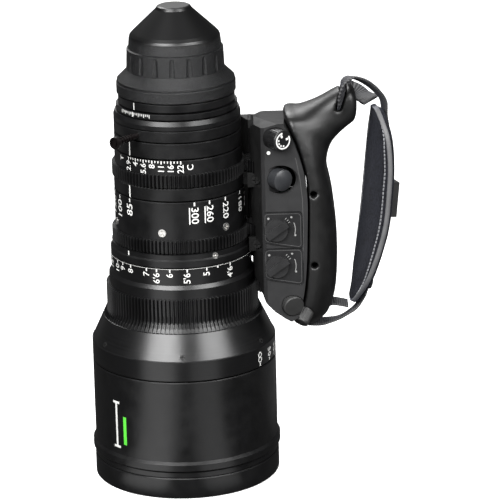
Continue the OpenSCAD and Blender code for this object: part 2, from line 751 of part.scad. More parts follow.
// Rear cap: base band over the lugs, flared foot, fluted skirt and a cone with a flat top
cap_gap = 0.4;
cap_throat_gap = 0.9;
cap_throat_r = spigot_r + cap_throat_gap;
cap_band_r = lug_r + cap_gap + cap_wall;
cap_band_lift = 0.7;
cap_band_h = mount_h - cap_band_lift;
cap_top_r = 9.6;
cap_skirt_r = 29.6;
cap_shoulder_r = 27.5;
cap_foot_share = 0.16;
cap_skirt_share = 0.437;
cap_shoulder_share = [0.597, 0.645];
flute_r = 2.3;
flute_sink = 0.9;
module rear_cap() {
    foot_z = flange_z + cap_foot_share * cap_h;
    skirt_z = flange_z + cap_skirt_share * cap_h;
    shoulder_z = flange_z + cap_shoulder_share[0] * cap_h;
    bend_z = flange_z + cap_shoulder_share[1] * cap_h;
    top_z = flange_z + cap_h;
    color([0.2, 0.2, 0.21])
        difference() {
            turned([[lug_r + cap_gap, flange_z - cap_band_h], [cap_band_r - edge, flange_z - cap_band_h],
                [cap_band_r, flange_z - cap_band_h + edge], [cap_band_r, flange_z - edge],
                [cap_band_r - edge, flange_z], [cap_band_r - 2 * edge, flange_z],
                [cap_band_r - 2 * edge, flange_z + edge],
                [cap_band_r - edge, flange_z + edge], [cap_band_r - edge, flange_z + 3 * edge],
                [cap_skirt_r + 3 * edge, foot_z - 3 * edge], [cap_skirt_r, foot_z],
                [cap_skirt_r - edge, skirt_z], [cap_skirt_r - 3 * edge, skirt_z + edge],
                [cap_shoulder_r, shoulder_z - edge], [cap_shoulder_r - edge, shoulder_z + 2 * edge],
                [cap_shoulder_r - 4 * edge, bend_z + edge], [cap_top_r + 3 * edge, top_z - 4 * edge],
                [cap_top_r + edge, top_z - edge], [cap_top_r - edge, top_z], [0, top_z],
                [0, top_z - cap_wall], [cap_top_r - cap_wall, top_z - cap_wall],
                [cap_shoulder_r - 2 * cap_wall, bend_z - cap_wall],
                [cap_shoulder_r - cap_wall, shoulder_z - cap_wall],
                [cap_throat_r, skirt_z - cap_wall], [cap_throat_r, flange_z],
                [lug_r + cap_gap, flange_z]]);
            for (k = [0:cap_flutes - 1])
                at_azimuth(-3 + k * 360 / cap_flutes)
                    translate([cap_skirt_r + flute_r - flute_sink, 0, foot_z + edge]) {
                        cylinder(r = flute_r, h = skirt_z - foot_z - flute_r - edge);
                        up(skirt_z - foot_z - flute_r - edge)
                            sphere(r = flute_r);
                    }
        }
}

// Moving lens groups inside the barrel
carriage_h = 11;
carriage_lead = 8;
group_h = 11;
variator_lead = 3;
compensator_tail = 12;
z_carriage = z_barrel + carriage_lead;
z_variator = z_sleeve + variator_lead;
z_compensator = z_sleeve + sleeve_h - group_h - compensator_tail;
group_r = sleeve_bore_r - sleeve_wall - run_gap;
module cell(r, z, h, r_glass) {
    difference() {
        disc_ring(r_glass - cell_lip, r, z, h);
        up(z + cell_lip)
            cylinder(r = r_glass + fit_gap, h = h);
    }
}
module focus_cell() {
    color([0.6, 0.6, 0.62])
        cell(carriage_bore_r - run_gap, z_carriage, carriage_h, carriage_bore_r - 2 * cell_lip);
}
module focus_glass() {
    color([0.3, 0.3, 0.45, 0.6])
        up(z_carriage + cell_lip)
            glass(carriage_bore_r - 2 * cell_lip, carriage_h - cell_lip, glass_back_bend, glass_back_bend);
}
module variator_cell() {
    color([0.6, 0.6, 0.62])
        cell(group_r, z_variator, group_h, group_r - cell_lip);
}
module variator_glass() {
    color([0.3, 0.3, 0.45, 0.6])
        up(z_variator + cell_lip)
            glass(group_r - cell_lip, group_h - cell_lip, glass_front_bend, glass_front_bend);
}
module compensator_cell() {
    color([0.6, 0.6, 0.62])
        cell(group_r, z_compensator, group_h, group_r - cell_lip);
}
module compensator_glass() {
    color([0.3, 0.3, 0.45, 0.6])
        up(z_compensator + cell_lip)
            glass(group_r - cell_lip, group_h - cell_lip, glass_front_bend, glass_front_bend);
}

// Iris unit: a fixed ring that holds the leaves, open to the stop of the largest aperture
z_iris_unit = z_zoom_index + zoom_index_h / 2 + 2 * ring_gap;
iris_unit_h = z_relay - z_iris_unit;
iris_open_r = 20;
blade_count = 9;
blade_t = 0.6;
blade_slot = 1.4;
blade_lift = 0.1;
blade_fill = 0.9;
module iris_unit() {
    color([0.25, 0.25, 0.25])
        difference() {
            disc_ring(iris_open_r, sleeve_bore_r - fit_gap, z_iris_unit, iris_unit_h);
            disc_ring(iris_open_r - over, sleeve_bore_r - cell_lip, z_iris_unit + iris_unit_h / 2, blade_slot);
        }
}
module iris_blades() {
    z_blade = z_iris_unit + iris_unit_h / 2;
    color([0.15, 0.15, 0.15])
        for (k = [0:blade_count - 1])
            rotate([0, 0, k * 360 / blade_count])
                up(z_blade + blade_lift)
                    rotate_extrude(angle = blade_fill * 360 / blade_count)
                        translate([iris_open_r + ring_gap, 0])
                            square([sleeve_bore_r - cell_lip - iris_open_r - 2 * ring_gap, blade_t]);
}
relay_h = z_mount - z_relay - over;
relay_glass_r = relay_bore_r - 2 * cell_lip;
relay_glass_h = 8;
module relay_cell() {
    color([0.5, 0.5, 0.52])
        cell(relay_bore_r - fit_gap, z_relay, relay_h, relay_glass_r);
}
module relay_glass() {
    color([0.3, 0.3, 0.45, 0.6])
        up(z_relay + cell_lip)
            glass(relay_glass_r, relay_glass_h, glass_front_bend, glass_front_bend);
}

// Frame of the drive unit: shares run over its reach in X, its length in Z and its half depth in Y
drive_drop = 13.8;
neck_over = 0.8;
drive_z = z_focus_gear - drive_drop;
drive_len = z_mount + neck_over - drive_z;
function dx(s) = drive_x + s * drive_reach;
function dy(s) = s * drive_depth;
function dz(s) = drive_z + s * drive_len;

// Grip outline rows: barrel side x and z, hand side x and z, half depth, and where its middle lies
grip_rows_share = [
    [0.360, 0.018, 0.600, 0.006, 0.54, 0.12],
    [0.406, 0.069, 0.714, 0.059, 0.75, 0.10],
    [0.466, 0.164, 0.775, 0.153, 0.88, 0.08],
    [0.497, 0.282, 0.795, 0.272, 0.93, 0.08],
    [0.511, 0.429, 0.791, 0.420, 0.95, 0.08],
    [0.517, 0.574, 0.754, 0.578, 0.94, 0.08],
    [0.489, 0.684, 0.712, 0.674, 0.90, 0.10],
    [0.415, 0.793, 0.723, 0.728, 0.84, 0.14],
    [0.306, 0.903, 0.765, 0.772, 0.74, 0.24],
    [0.452, 0.918, 0.843, 0.811, 0.60, 0.40],
    [0.629, 0.949, 0.922, 0.840, 0.50, 0.50],
    [0.806, 0.991, 0.978, 0.861, 0.45, 0.50],
    [0.914, 1.003, 0.997, 0.903, 0.41, 0.50],
    [0.972, 0.984, 0.997, 0.944, 0.29, 0.50]];
grip_steps = 4;
grip_sides = 32;
trim_rows = 8;
round_share = 0.8;
grip_rows = smooth_rows(grip_rows_share, grip_steps);
function bulge(v) = sign(v) * pow(abs(v), round_share);
function grip_ring(row) = let (
        l = [dx(row[0]) + seam_gap, 0, dz(row[1])], r = [dx(row[2]), 0, dz(row[3])], m = l + (r - l) * row[5])
    [for (k = [0:grip_sides - 1]) let (a = k * 360 / grip_sides, c = bulge(cos(a)), s = bulge(sin(a)))
        m + (c > 0 ? c * (r - m) : -c * (l - m)) + [0, s * dy(row[4]), 0]];
trim_line = [for (i = [grip_steps:trim_rows * grip_steps]) [dx(grip_rows[i][0]), dz(grip_rows[i][1])]];
left_line_share = [[0.295, 0.900], [0.037, 0.868], [0, 0.845], [0, 0.215], [0.071, 0.205], [0.071, 0.180],
    [0.112, 0.138], [0.194, 0.100], [0.286, 0.070], [0.350, 0.054]];
top_front_share = 0.895;
top_back_share = 0.851;
function drive_outline() = concat(trim_line, [for (p = left_line_share) [dx(p[0]), dz(p[1])]]);
section_share = [[0, -0.2], [0.1, -0.92], [0.13, -1], [0.62, -1], [0.62, 1], [0.13, 1], [0.1, 0.92], [0, 0.2]];

// Outer or inner volume of the drive unit, drawn in by a wall
module drive_volume(wall) {
    intersection() {
        translate([0, drive_depth + over, 0])
            rotate([90, 0, 0])
                linear_extrude(2 * drive_depth + 2 * over)
                    offset(delta = -wall)
                        polygon(drive_outline());
        up(drive_z - over)
            linear_extrude(drive_len + 2 * over)
                offset(delta = -wall)
                    polygon([for (p = section_share) [dx(p[0]), dy(p[1])]]);
        translate([drive_x - drive_depth, 0, 0])
            rotate([90, 0, 90])
                linear_extrude(2 * drive_depth + drive_reach)
                    offset(delta = -wall)
                        polygon([[dy(-1), drive_z - drive_depth], [dy(1), drive_z - drive_depth],
                            [dy(1), dz(top_back_share)], [dy(-1), dz(top_front_share)]]);
    }
}
// Room for the rings of the lens, kept clear of the drive housing
module ring_room() {
    tip = tip_r(focus_teeth);
    turned([[0, z_cone], [skirt_r + drive_gap, z_cone], [tip + 2 * drive_gap, z_focus_gear],
        [tip + drive_gap, z_focus_gear + drive_gap], [tip + drive_gap, z_focus_plain + drive_gap],
        [focus_plain_r + drive_gap, z_focus_plain + drive_gap],
        [focus_plain_r + drive_gap, z_focus_scale + drive_gap],
        [drive_x - drive_gap / 2, z_focus_scale + drive_gap],
        [drive_x - drive_gap / 2, z_mount], [0, z_mount]]);
}

// Drive line: pinion and motor places
web_h = 1.6;
shaft_r = 1.2;
function pinion_x(n) = pitch_r(n) + pitch_r(pinion_teeth);
pinion_places = [[pinion_x(iris_teeth), z_iris_gear + (iris_gear_h - pinion_h) / 2],
    [pinion_x(zoom_teeth), z_zoom_gear + (zoom_gear_h - pinion_h) / 2],
    [pinion_x(focus_teeth), z_focus_plain - pinion_h - 2 * ring_gap]];
module pinion(place) {
    translate([place[0], 0, place[1]])
        union() {
            linear_extrude(pinion_h)
                polygon(gear_outline(pinion_teeth));
            cylinder(r = shaft_r, h = pinion_h + ring_gap + web_h + motor_h / 2);
        }
}
module iris_pinion() {
    color([0.8, 0.7, 0.4])
        pinion(pinion_places[0]);
}
module zoom_pinion() {
    color([0.8, 0.7, 0.4])
        pinion(pinion_places[1]);
}
module focus_pinion() {
    color([0.8, 0.7, 0.4])
        pinion(pinion_places[2]);
}
function motor_z(place) = place[1] + pinion_h + ring_gap + web_h;
module drive_motors() {
    color([0.6, 0.6, 0.62])
        for (place = pinion_places)
            translate([place[0], 0, motor_z(place)])
                difference() {
                    cylinder(r = motor_r, h = motor_h);
                    up(-over)
                        cylinder(r = shaft_r + run_gap, h = motor_h / 2 + over + ring_gap);
                }
}

// Tilted controls on the dial side: the place is on the face, turned towards the grip
control_turn = 34;
dial_at_share = [0.233, 0.836];
quick_at_share = [0.275, 0.662];
control_sink = 4;
control_gap = 0.3;
module control_frame(at_share) {
    translate([dx(at_share[0]), dy(-1), dz(at_share[1])])
        rotate([90, 0, control_turn])
            children();
}
socket_at_share = [[0.327, 0.134], [0.492, 0.084]];
socket_y_share = [-0.74, -0.68];
socket_turn = [20.5, -40];
socket_drop = [12, 44];
socket_small_share = 0.76;
module socket_frame(k) {
    translate([dx(socket_at_share[k][0]), dy(socket_y_share[k]), dz(socket_at_share[k][1])])
        rotate([90 + socket_drop[k], 0, socket_turn[k]])
            children();
}
socket_base_h = 4;
socket_cap_h = 9;
function socket_cap_r(k) = k == 0 ? socket_r : socket_r * socket_small_share;
module socket_room(k) {
    socket_frame(k)
        cylinder(r = socket_cap_r(k) + slot_play, h = 3 * socket_cap_h);
}

// Plates of the two selectors
plate_w = 23.2;
plate_h = 21.4;
plate_t = 1.2;
plate_cut = 5.5;
plate_round = 2;
plate_sink = 0.5;
selector_x_share = 0.285;
selector_z_share = [0.452, 0.297];
selector_shift_share = -0.17;
selector_h = 4.2;
selector_pin_r = 2;
function selector_x() = dx(selector_x_share) + selector_shift_share * plate_w;
module plate_outline(grow) {
    offset(r = plate_round + grow, $fn = slices / 2)
        offset(delta = -plate_round)
            polygon([[-plate_w / 2, -plate_h / 2 + plate_cut / 2],
                [-plate_w / 2 + plate_cut, -plate_h / 2 + plate_cut / 4],
                [plate_w / 2, -plate_h / 2 - plate_cut / 4], [plate_w / 2, plate_h / 2],
                [-plate_w / 2, plate_h / 2]]);
}
module plate_frame(share) {
    translate([dx(selector_x_share), dy(-1) + plate_sink, dz(share)])
        rotate([90, 0, 0])
            children();
}
module selector_plates() {
    color([0.16, 0.16, 0.16])
        for (share = selector_z_share)
            plate_frame(share)
                difference() {
                    linear_extrude(plate_t)
                        plate_outline(0);
                    translate([selector_shift_share * plate_w, 0, -over])
                        cylinder(r = selector_pin_r + 2 * run_gap, h = plate_t + 2 * over);
                }
}
selector_bar_share = [2.15, 0.62];
selector_rest = 35;
module selector(share) {
    translate([selector_x(), dy(-1) + plate_sink - plate_t - run_gap, dz(share)])
        rotate([90, 0, 0])
            union() {
                cylinder(r = selector_r, h = selector_h / 2);
                rotate([0, 0, selector_rest])
                    translate([-selector_r, -selector_r * selector_bar_share[1] / 2, 0])
                        cube([selector_r * selector_bar_share[0], selector_r * selector_bar_share[1], selector_h]);
                up(-plate_t - plate_sink)
                    cylinder(r = selector_pin_r, h = plate_t + plate_sink + over);
            }
}
module zoom_selector() {
    color([0.18, 0.18, 0.18])
        selector(selector_z_share[0]);
}
module focus_selector() {
    color([0.18, 0.18, 0.18])
        selector(selector_z_share[1]);
}

// Drive housing
cover_share = 0.86;
cover_y = cover_share * drive_depth;
tab_w = 10;
tab_h = 9;
tab_y = 12;
tab_t = tab_y - pad_half_w;
top_lug_r = 2.6;
top_lug_share = 0.86;
saddle_reach = 9;
saddle_root_share = 0.1;
module housing_tab(z, h) {
    translate([pad_screw_x - tab_w / 2, -tab_y, pad_screw_z(z, h) - tab_h / 2])
        cube([tab_w, tab_t, tab_h]);
}
module tab_screw_hole(z, h) {
    translate([pad_screw_x, -drive_depth - over, pad_screw_z(z, h)])
        rotate([-90, 0, 0])
            cylinder(r = 2 * pad_screw_r, h = drive_depth + over - tab_y);
    translate([pad_screw_x, -tab_y - over, pad_screw_z(z, h)])
        rotate([-90, 0, 0])
            cylinder(r = pad_screw_r + slot_play / 4, h = tab_t + 2 * over);
}
module pad_room(z, h) {
    translate([0, -pad_half_w - seam_gap, z - ring_gap / 2])
        cube([drive_x + pad_reach + seam_gap, 2 * pad_half_w + 2 * seam_gap, h + ring_gap]);
}
module drive_housing() {
    color([0.33, 0.33, 0.34])
        difference() {
            union() {
                difference() {
                    intersection() {
                        drive_volume(0);
                        translate([0, -2 * drive_depth + cover_y, drive_z - over])
                            cube([2 * drive_reach + drive_x, 2 * drive_depth, drive_len + 2 * over]);
                    }
                    drive_volume(drive_wall);
                }
                // Saddle that closes the far side towards the barrel
                up(z_focus_scale + drive_gap)
                    linear_extrude(dz(left_line_share[2][1]) - z_focus_scale - drive_gap)
                        polygon([[drive_x - saddle_reach, tab_y], [drive_x + drive_wall, tab_y],
                            [dx(saddle_root_share), cover_y], [drive_x - saddle_reach, cover_y]]);
                // Thick floor under the tilted controls and sockets
                intersection() {
                    drive_volume(drive_wall / 2);
                    union() {
                        control_frame(dial_at_share)
                            up(-control_sink - drive_wall)
                                cylinder(r = dial_r + drive_wall, h = control_sink + dial_h);
                        control_frame(quick_at_share)
                            up(-control_sink - 2 * drive_wall)
                                cylinder(r = quick_r + drive_wall, h = control_sink + dial_h);
                    }
                }
                intersection() {
                    drive_volume(drive_wall / 2);
                    socket_frame(0)
                        up(-socket_base_h)
                            cylinder(r = socket_r + drive_wall, h = 2 * socket_base_h);
                }
                for (place = pinion_places)
                    translate([drive_x + drive_wall / 2, -motor_r - drive_wall, motor_z(place) - web_h])
                        cube([place[0] + motor_r + drive_wall - drive_x, 2 * motor_r + 2 * drive_wall, web_h]);
                for (z_h = fixed_rings)
                    housing_tab(z_h[0], z_h[1]);
                translate([drive_x, tab_t, dz(top_lug_share)])
                    rotate([90, 0, 0])
                        cylinder(r = top_lug_r, h = 2 * tab_t);
            }
            ring_room();
            for (z_h = fixed_rings) {
                pad_room(z_h[0], z_h[1]);
                tab_screw_hole(z_h[0], z_h[1]);
            }
            for (k = [0, 1])
                socket_room(k);
            for (place = pinion_places)
                translate([place[0], 0, place[1] - ring_gap / 2]) {
                    cylinder(r = tip_r(pinion_teeth) + ring_gap, h = pinion_h + ring_gap);
                    cylinder(r = shaft_r + slot_play, h = pinion_h + 2 * web_h + ring_gap);
                }
            control_frame(dial_at_share)
                up(-control_sink)
                    cylinder(r = dial_r + control_gap, h = dial_h + control_sink);
            control_frame(quick_at_share)
                up(-control_sink - drive_wall)
                    cylinder(r = quick_r + control_gap, h = dial_h + control_sink);
            control_frame(quick_at_share)
                up(-control_sink)
                    cylinder(r = 1.35 * quick_r, h = dial_h + control_sink);
            for (share = selector_z_share)
                plate_frame(share) {
                    linear_extrude(over)
                        plate_outline(control_gap);
                    translate([selector_shift_share * plate_w, 0, -drive_wall - over])
                        cylinder(r = selector_pin_r + 2 * run_gap, h = drive_wall + 2 * over);
                }
        }
}
module drive_mount_screws() {
    color([0.8, 0.8, 0.8])
        for (z_h = fixed_rings)
            translate([pad_screw_x, -tab_y, pad_screw_z(z_h[0], z_h[1])])
                rotate([90, 0, 0])
                    up(index_screw_h)
                        cross_screw(1.5 * pad_screw_r, index_screw_h, tab_y - pad_half_w / 2);
}

// Cover on the far side, with its rocker window, button bores and board posts
rocker_at_share = [0.30, 0.40];
rocker_x = dx(rocker_at_share[0]);
rocker_z = dz(rocker_at_share[1]);
record_at_share = [0.28, 0.745];
return_at_share = [0.30, 0.175];
record_r = 5;
return_r = 3.6;
button_proud = 1.6;
button_travel = 1.2;
button_collar = 1.2;
button_collar_h = 1.2;
cover_screw_share = [[0.17, 0.79], [0.38, 0.76], [0.43, 0.24], [0.17, 0.16], [0.17, 0.60]];
cover_screw_r = 1.8;
board_y = 16;
board_t = 1.6;
board_lo_share = [0.11, 0.235];
board_size_share = [0.25, 0.485];
post_r = 1.8;
post_at_share = [[0.16, 0.25], [0.33, 0.25], [0.16, 0.70], [0.33, 0.70]];
rocker_gap = 0.5;
rocker_end_gap = 1.2;
rocker_pin_r = 1.5;
rocker_body_h = 6.5;
rocker_pin_sink = 3.4;
rocker_pin_y = drive_depth - rocker_pin_sink;
module cover_button_bore(at_share, r) {
    translate([dx(at_share[0]), drive_depth + over, dz(at_share[1])])
        rotate([90, 0, 0]) {
            cylinder(r = r + control_gap, h = 2 * over + drive_depth - cover_y);
            up(over + drive_wall)
                cylinder(r = r + button_collar + control_gap, h = drive_depth - cover_y + over);
        }
}
module drive_cover() {
    ear = 3;
    ear_x = rocker_w / 2 + rocker_gap;
    color([0.3, 0.3, 0.31])
        difference() {
            union() {
                intersection() {
                    drive_volume(0);
                    translate([0, cover_y + seam_gap, drive_z - over])
                        cube([2 * drive_reach + drive_x, drive_depth, drive_len + 2 * over]);
                }
                for (at = post_at_share)
                    translate([dx(at[0]), cover_y + over, dz(at[1])])
                        rotate([90, 0, 0])
                            cylinder(r = post_r, h = cover_y + over - board_y - board_t);
                for (side = [-1, 1])
                    translate([rocker_x + side * (ear_x + ear / 2) - ear / 2,
                            rocker_pin_y - ear, rocker_z - ear])
                        cube([ear, drive_depth - rocker_pin_y + ear - over, 2 * ear]);
            }
            translate([rocker_x - ear_x, cover_y - over,
                    rocker_z - rocker_len / 2 - rocker_end_gap])
                cube([2 * ear_x, drive_depth, rocker_len + 2 * rocker_end_gap]);
            translate([rocker_x - ear_x - ear - over, rocker_pin_y, rocker_z])
                rotate([0, 90, 0])
                    cylinder(r = rocker_pin_r + run_gap, h = 2 * (ear_x + ear + over));
            cover_button_bore(record_at_share, record_r);
            cover_button_bore(return_at_share, return_r);
            for (at = cover_screw_share)
                translate([dx(at[0]), drive_depth + over, dz(at[1])])
                    rotate([90, 0, 0])
                        cylinder(r = cover_screw_r + fit_gap, h = index_screw_h + over);
        }
}
module drive_cover_screws() {
    color([0.2, 0.2, 0.2]) {
        for (at = cover_screw_share)
            translate([dx(at[0]), drive_depth, dz(at[1])])
                rotate([-90, 0, 0])
                    cross_screw(cover_screw_r, index_screw_h - fit_gap, 0);
        for (at = grip_hole_share)
            translate([dx(at[0]), -drive_depth - over + grip_hole_sink * drive_depth - fit_gap, dz(at[1])])
                rotate([90, 0, 0])
                    up(index_screw_h)
                        cross_screw(cover_screw_r, index_screw_h, 0);
    }
}
// Rocker: a dished bar on a cross pin
module zoom_rocker() {
    dish = 1.4;
    ear_x = rocker_w / 2 + rocker_gap;
    color([0.12, 0.12, 0.12])
        union() {
            translate([rocker_x - rocker_w / 2, rocker_pin_y, rocker_z])
                rotate([90, 0, 90])
                    linear_extrude(rocker_w)
                        polygon(concat(
                            [[-rocker_pin_r - dish, -rocker_pin_r - dish],
                            [rocker_pin_r, -rocker_pin_r - dish]],
                            [[0.36 * rocker_body_h, -rocker_len / 2]],
                            [for (t = [-1:0.125:1]) [rocker_body_h - dish * (1 - t * t), t * rocker_len / 2]],
                            [[0.36 * rocker_body_h, rocker_len / 2]],
                            [[rocker_pin_r, rocker_pin_r + dish],
                            [-rocker_pin_r - dish, rocker_pin_r + dish]]));
            translate([rocker_x - ear_x - over, rocker_pin_y, rocker_z])
                rotate([0, 90, 0])
                    cylinder(r = rocker_pin_r, h = 2 * (ear_x + over));
        }
}
module push_button(at_share, r) {
    translate([dx(at_share[0]), drive_depth + button_proud, dz(at_share[1])])
        rotate([90, 0, 0])
            union() {
                cylinder(r1 = r - edge, r2 = r, h = edge);
                up(edge)
                    cylinder(r = r, h = button_proud + drive_wall + over - edge);
                up(button_proud + drive_wall + fit_gap)
                    cylinder(r = r + button_collar, h = button_collar_h);
            }
}
module record_button() {
    color([0.6, 0.1, 0.1])
        push_button(record_at_share, record_r);
}
module return_button() {
    color([0.2, 0.2, 0.2])
        push_button(return_at_share, return_r);
}
module circuit_board() {
    color([0.1, 0.35, 0.15])
        translate([dx(board_lo_share[0]), board_y, dz(board_lo_share[1])])
            cube([board_size_share[0] * drive_reach, board_t, board_size_share[1] * drive_len]);
}

// Mode dial with a knurled side, and the large round button
dial_knurls = 30;
knurl_r = 0.35;
module mode_dial() {
    color([0.12, 0.12, 0.12])
        control_frame(dial_at_share)
            up(-control_sink + fit_gap)
                difference() {
                    union() {
                        cylinder(r = dial_r, h = dial_h - edge);
                        up(dial_h - edge)
                            cylinder(r1 = dial_r, r2 = dial_r - edge, h = edge);
                    }
                    for (k = [0:dial_knurls - 1])
                        rotate([0, 0, k * 360 / dial_knurls])
                            translate([dial_r, 0, control_sink + edge])
                                cylinder(r = knurl_r, h = dial_h - control_sink - 3 * edge, $fn = 6);
                }
}
module quick_button() {
    dome = 14 * quick_r / 6;
    color([0.25, 0.25, 0.25])
        control_frame(quick_at_share)
            up(-control_sink + button_travel - drive_wall)
                intersection() {
                    cylinder(r = quick_r, h = quick_h);
                    up(quick_h - dome)
                        sphere(r = dome);
                }
}

// Connector caps, with a grip rim of fine ribs
cap_ribs = 28;
module connector_cap(k) {
    r = socket_cap_r(k);
    color([0.25, 0.25, 0.25])
        socket_frame(k)
            up(fit_gap)
                difference() {
                    union() {
                        cylinder(r = r, h = socket_cap_h - edge);
                        up(socket_cap_h - edge)
                            cylinder(r1 = r, r2 = r - edge, h = edge);
                    }
                    for (j = [0:cap_ribs - 1])
                        rotate([0, 0, j * 360 / cap_ribs])
                            translate([r, 0, edge])
                                cylinder(r = knurl_r, h = socket_cap_h - 4 * edge, $fn = 6);
                }
}
module connector_cap_large() {
    connector_cap(0);
}
module connector_cap_small() {
    connector_cap(1);
}

// Grip: one smooth moulding from the foot up into the neck, with two slots for the strap
neck_slot_share = [0.852, 0.962];
neck_slot_len = 15;
neck_slot_w = 3.4;
neck_slot_turn = -17;
foot_slot_share = [0.632, 0.0507];
foot_slot_w = 3.2;
foot_slot_turn = 54.8;
grip_hole_share = [[0.575, 0.589], [0.575, 0.287]];
grip_hole_r = 2.1;
grip_hole_sink = 0.55;
module grip_shell() {
    color([0.13, 0.13, 0.13])
        difference() {
            skin([for (row = grip_rows) grip_ring(row)]);
            translate([dx(neck_slot_share[0]), -drive_depth, dz(neck_slot_share[1])])
                rotate([0, -neck_slot_turn, 0])
                    translate([-neck_slot_w / 2, 0, -neck_slot_len / 2])
                        cube([neck_slot_w, 2 * drive_depth, neck_slot_len]);
            translate([dx(foot_slot_share[0]), 0, dz(foot_slot_share[1])])
                rotate([0, foot_slot_turn, 0])
                    cube([foot_slot_w, web_w + 2 * over, 2 * drive_depth], center = true);
            for (k = [0, 1])
                socket_room(k);
            for (at = grip_hole_share)
                translate([dx(at[0]), -drive_depth - over, dz(at[1])])
                    rotate([-90, 0, 0])
                        cylinder(r = grip_hole_r, h = grip_hole_sink * drive_depth);
        }
}

// Strap pad rows: dial side x and z, far side x and z, half width
pad_rows_share = [
    [1.166, 0.914, 1.108, 0.896, 0.32],
    [1.204, 0.882, 1.110, 0.856, 0.68],
    [1.256, 0.812, 1.088, 0.774, 0.91],
    [1.274, 0.697, 1.062, 0.664, 0.96],
    [1.257, 0.572, 1.034, 0.542, 0.96],
    [1.224, 0.447, 1.003, 0.417, 0.95],
    [1.150, 0.322, 0.965, 0.299, 0.89],
    [1.055, 0.206, 0.928, 0.184, 0.75],
    [0.962, 0.125, 0.897, 0.106, 0.46],
    [0.912, 0.090, 0.883, 0.082, 0.25]];
pad_steps = 4;
pad_cells = 14;
channel_share = 0.84;
channel_w_share = 0.09;
pad_rows = smooth_rows(pad_rows_share, pad_steps);
function pad_near(row) = [dx(row[0]), -dy(row[4]), dz(row[1])];
function pad_far(row) = [dx(row[2]), dy(row[4]), dz(row[3])];
function pad_mid(i) = (pad_near(pad_rows[i]) + pad_far(pad_rows[i])) / 2;
function pad_along(i) = unit(pad_mid(min(i + 1, len(pad_rows) - 1)) - pad_mid(max(i - 1, 0)));
function pad_across(i) = unit(pad_far(pad_rows[i]) - pad_near(pad_rows[i]));
function pad_out(i) = unit(cross(pad_along(i), pad_across(i)));
function pad_swell(u) = pad_crown * (1 - u * u)
    - pad_channel * exp(-pow((abs(u) - channel_share) / channel_w_share, 2));
function pad_thick(u) = pad_t * pow(max(1 - pow(abs(u), 6), 0.04), 0.5);
function pad_ring(i) = let (
        n = pad_out(i), mid = pad_mid(i), half = norm(pad_far(pad_rows[i]) - pad_near(pad_rows[i])) / 2,
        w = pad_across(i), e = min(1, min(i, len(pad_rows) - 1 - i) / 3 + 0.35))
    concat(
        [for (k = [0:pad_cells]) let (u = -cos(180 * k / pad_cells))
            mid + u * half * w + (pad_t / 2 - e * (pad_thick(u) / 2 + pad_swell(u))) * n],
        [for (k = [pad_cells:-1:0]) let (u = -cos(180 * k / pad_cells))
            mid + u * half * w + (pad_t / 2 + e * pad_thick(u) / 2) * n]);
module strap_pad() {
    color([0.13, 0.14, 0.19])
        skin([for (i = [0:len(pad_rows) - 1]) pad_ring(i)]);
}

// Webbing: a flat band given by its middle line and the direction of its width
function band_ring(p, along, side, half_w, t) =
    let (w = half_w * unit(side - (side * along) * along), n = t / 2 * unit(cross(along, w)))
    [p - w - n, p + w - n, p + w + n, p - w + n];
module band(rows, half_w, t) {
    pts = [for (r = rows) [r[0], r[1], r[2]]];
    last = len(pts) - 1;
    skin([for (i = [0:last])
        band_ring(pts[i], unit(pts[min(i + 1, last)] - pts[max(i - 1, 0)]),
            [rows[i][3], rows[i][4], rows[i][5]], half_w, t)]);
}
function outer_point(i, lift) = pad_mid(i) + pad_out(i) * (pad_t + web_t / 2 + lift);
function outer_row(i, lift) = concat(outer_point(i, lift), pad_across(i));
// Loops: x, z and y shares, then the direction of the width
neck_loop_share = [
    [1.238, 0.938, -0.04, -0.2, 1, -0.2],
    [1.160, 0.990, -0.16, -0.2, 1, -0.28],
    [1.055, 1.032, -0.30, -0.2, 1, -0.3],
    [0.950, 1.054, -0.45, -0.15, 1, -0.2],
    [0.886, 1.043, -0.56, -0.05, 0.95, 0],
    [0.860, 1.012, -0.61, 0.25, 0.95, 0.25],
    [0.853, 0.978, -0.57, 0.3, 0.5, 0.85],
    [0.852, 0.962, -0.40, 0.3, 0, 1],
    [0.852, 0.962, 0, 0.3, 0, 1],
    [0.852, 0.962, 0.42, 0.3, 0, 1],
    [0.895, 0.948, 0.64, 0.3, 0.1, 1],
    [0.968, 0.934, 0.80, 0.1, 0.6, 0.7],
    [1.050, 0.926, 0.66, -0.1, 1, 0.1],
    [1.105, 0.926, 0.40, -0.15, 1, 0],
    [1.148, 0.930, 0.20, -0.2, 1, 0]];
foot_loop_share = [
    [0.886, 0.066, 0, 0, 1, 0],
    [0.822, 0.073, 0, 0, 1, 0],
    [0.750, 0.078, 0, 0, 1, 0],
    [0.700, 0.072, 0, 0, 1, 0],
    [0.632, 0.051, 0, 0, 1, 0],
    [0.560, 0.028, 0, 0, 1, 0],
    [0.505, 0.009, 0, 0, 1, 0],
    [0.500, -0.005, 0, 0, 1, 0],
    [0.560, -0.010, 0, 0, 1, 0],
    [0.640, -0.009, 0, 0, 1, 0],
    [0.720, -0.004, 0, 0, 1, -0.1],
    [0.810, 0.007, 0, 0, 1, -0.2],
    [0.900, 0.030, 0, 0, 1, -0.2],
    [0.975, 0.058, 0, 0, 1, -0.1]];
function loop_rows(table) = [for (r = table) [dx(r[0]), dy(r[2]), dz(r[1]), r[3], r[4], r[5]]];
web_steps = 3;
outer_marks = [4:2:32];
web_lift = 0.8;
module strap_webbing() {
    rows = concat([for (k = [len(neck_loop_share) - 1:-1:0]) loop_rows(neck_loop_share)[k]],
        [for (i = outer_marks) outer_row(i, web_lift)],
        [for (k = [len(foot_loop_share) - 1:-1:0]) loop_rows(foot_loop_share)[k]]);
    color([0.2, 0.2, 0.2])
        band(smooth_rows(rows, web_steps), web_w / 2, web_t);
}

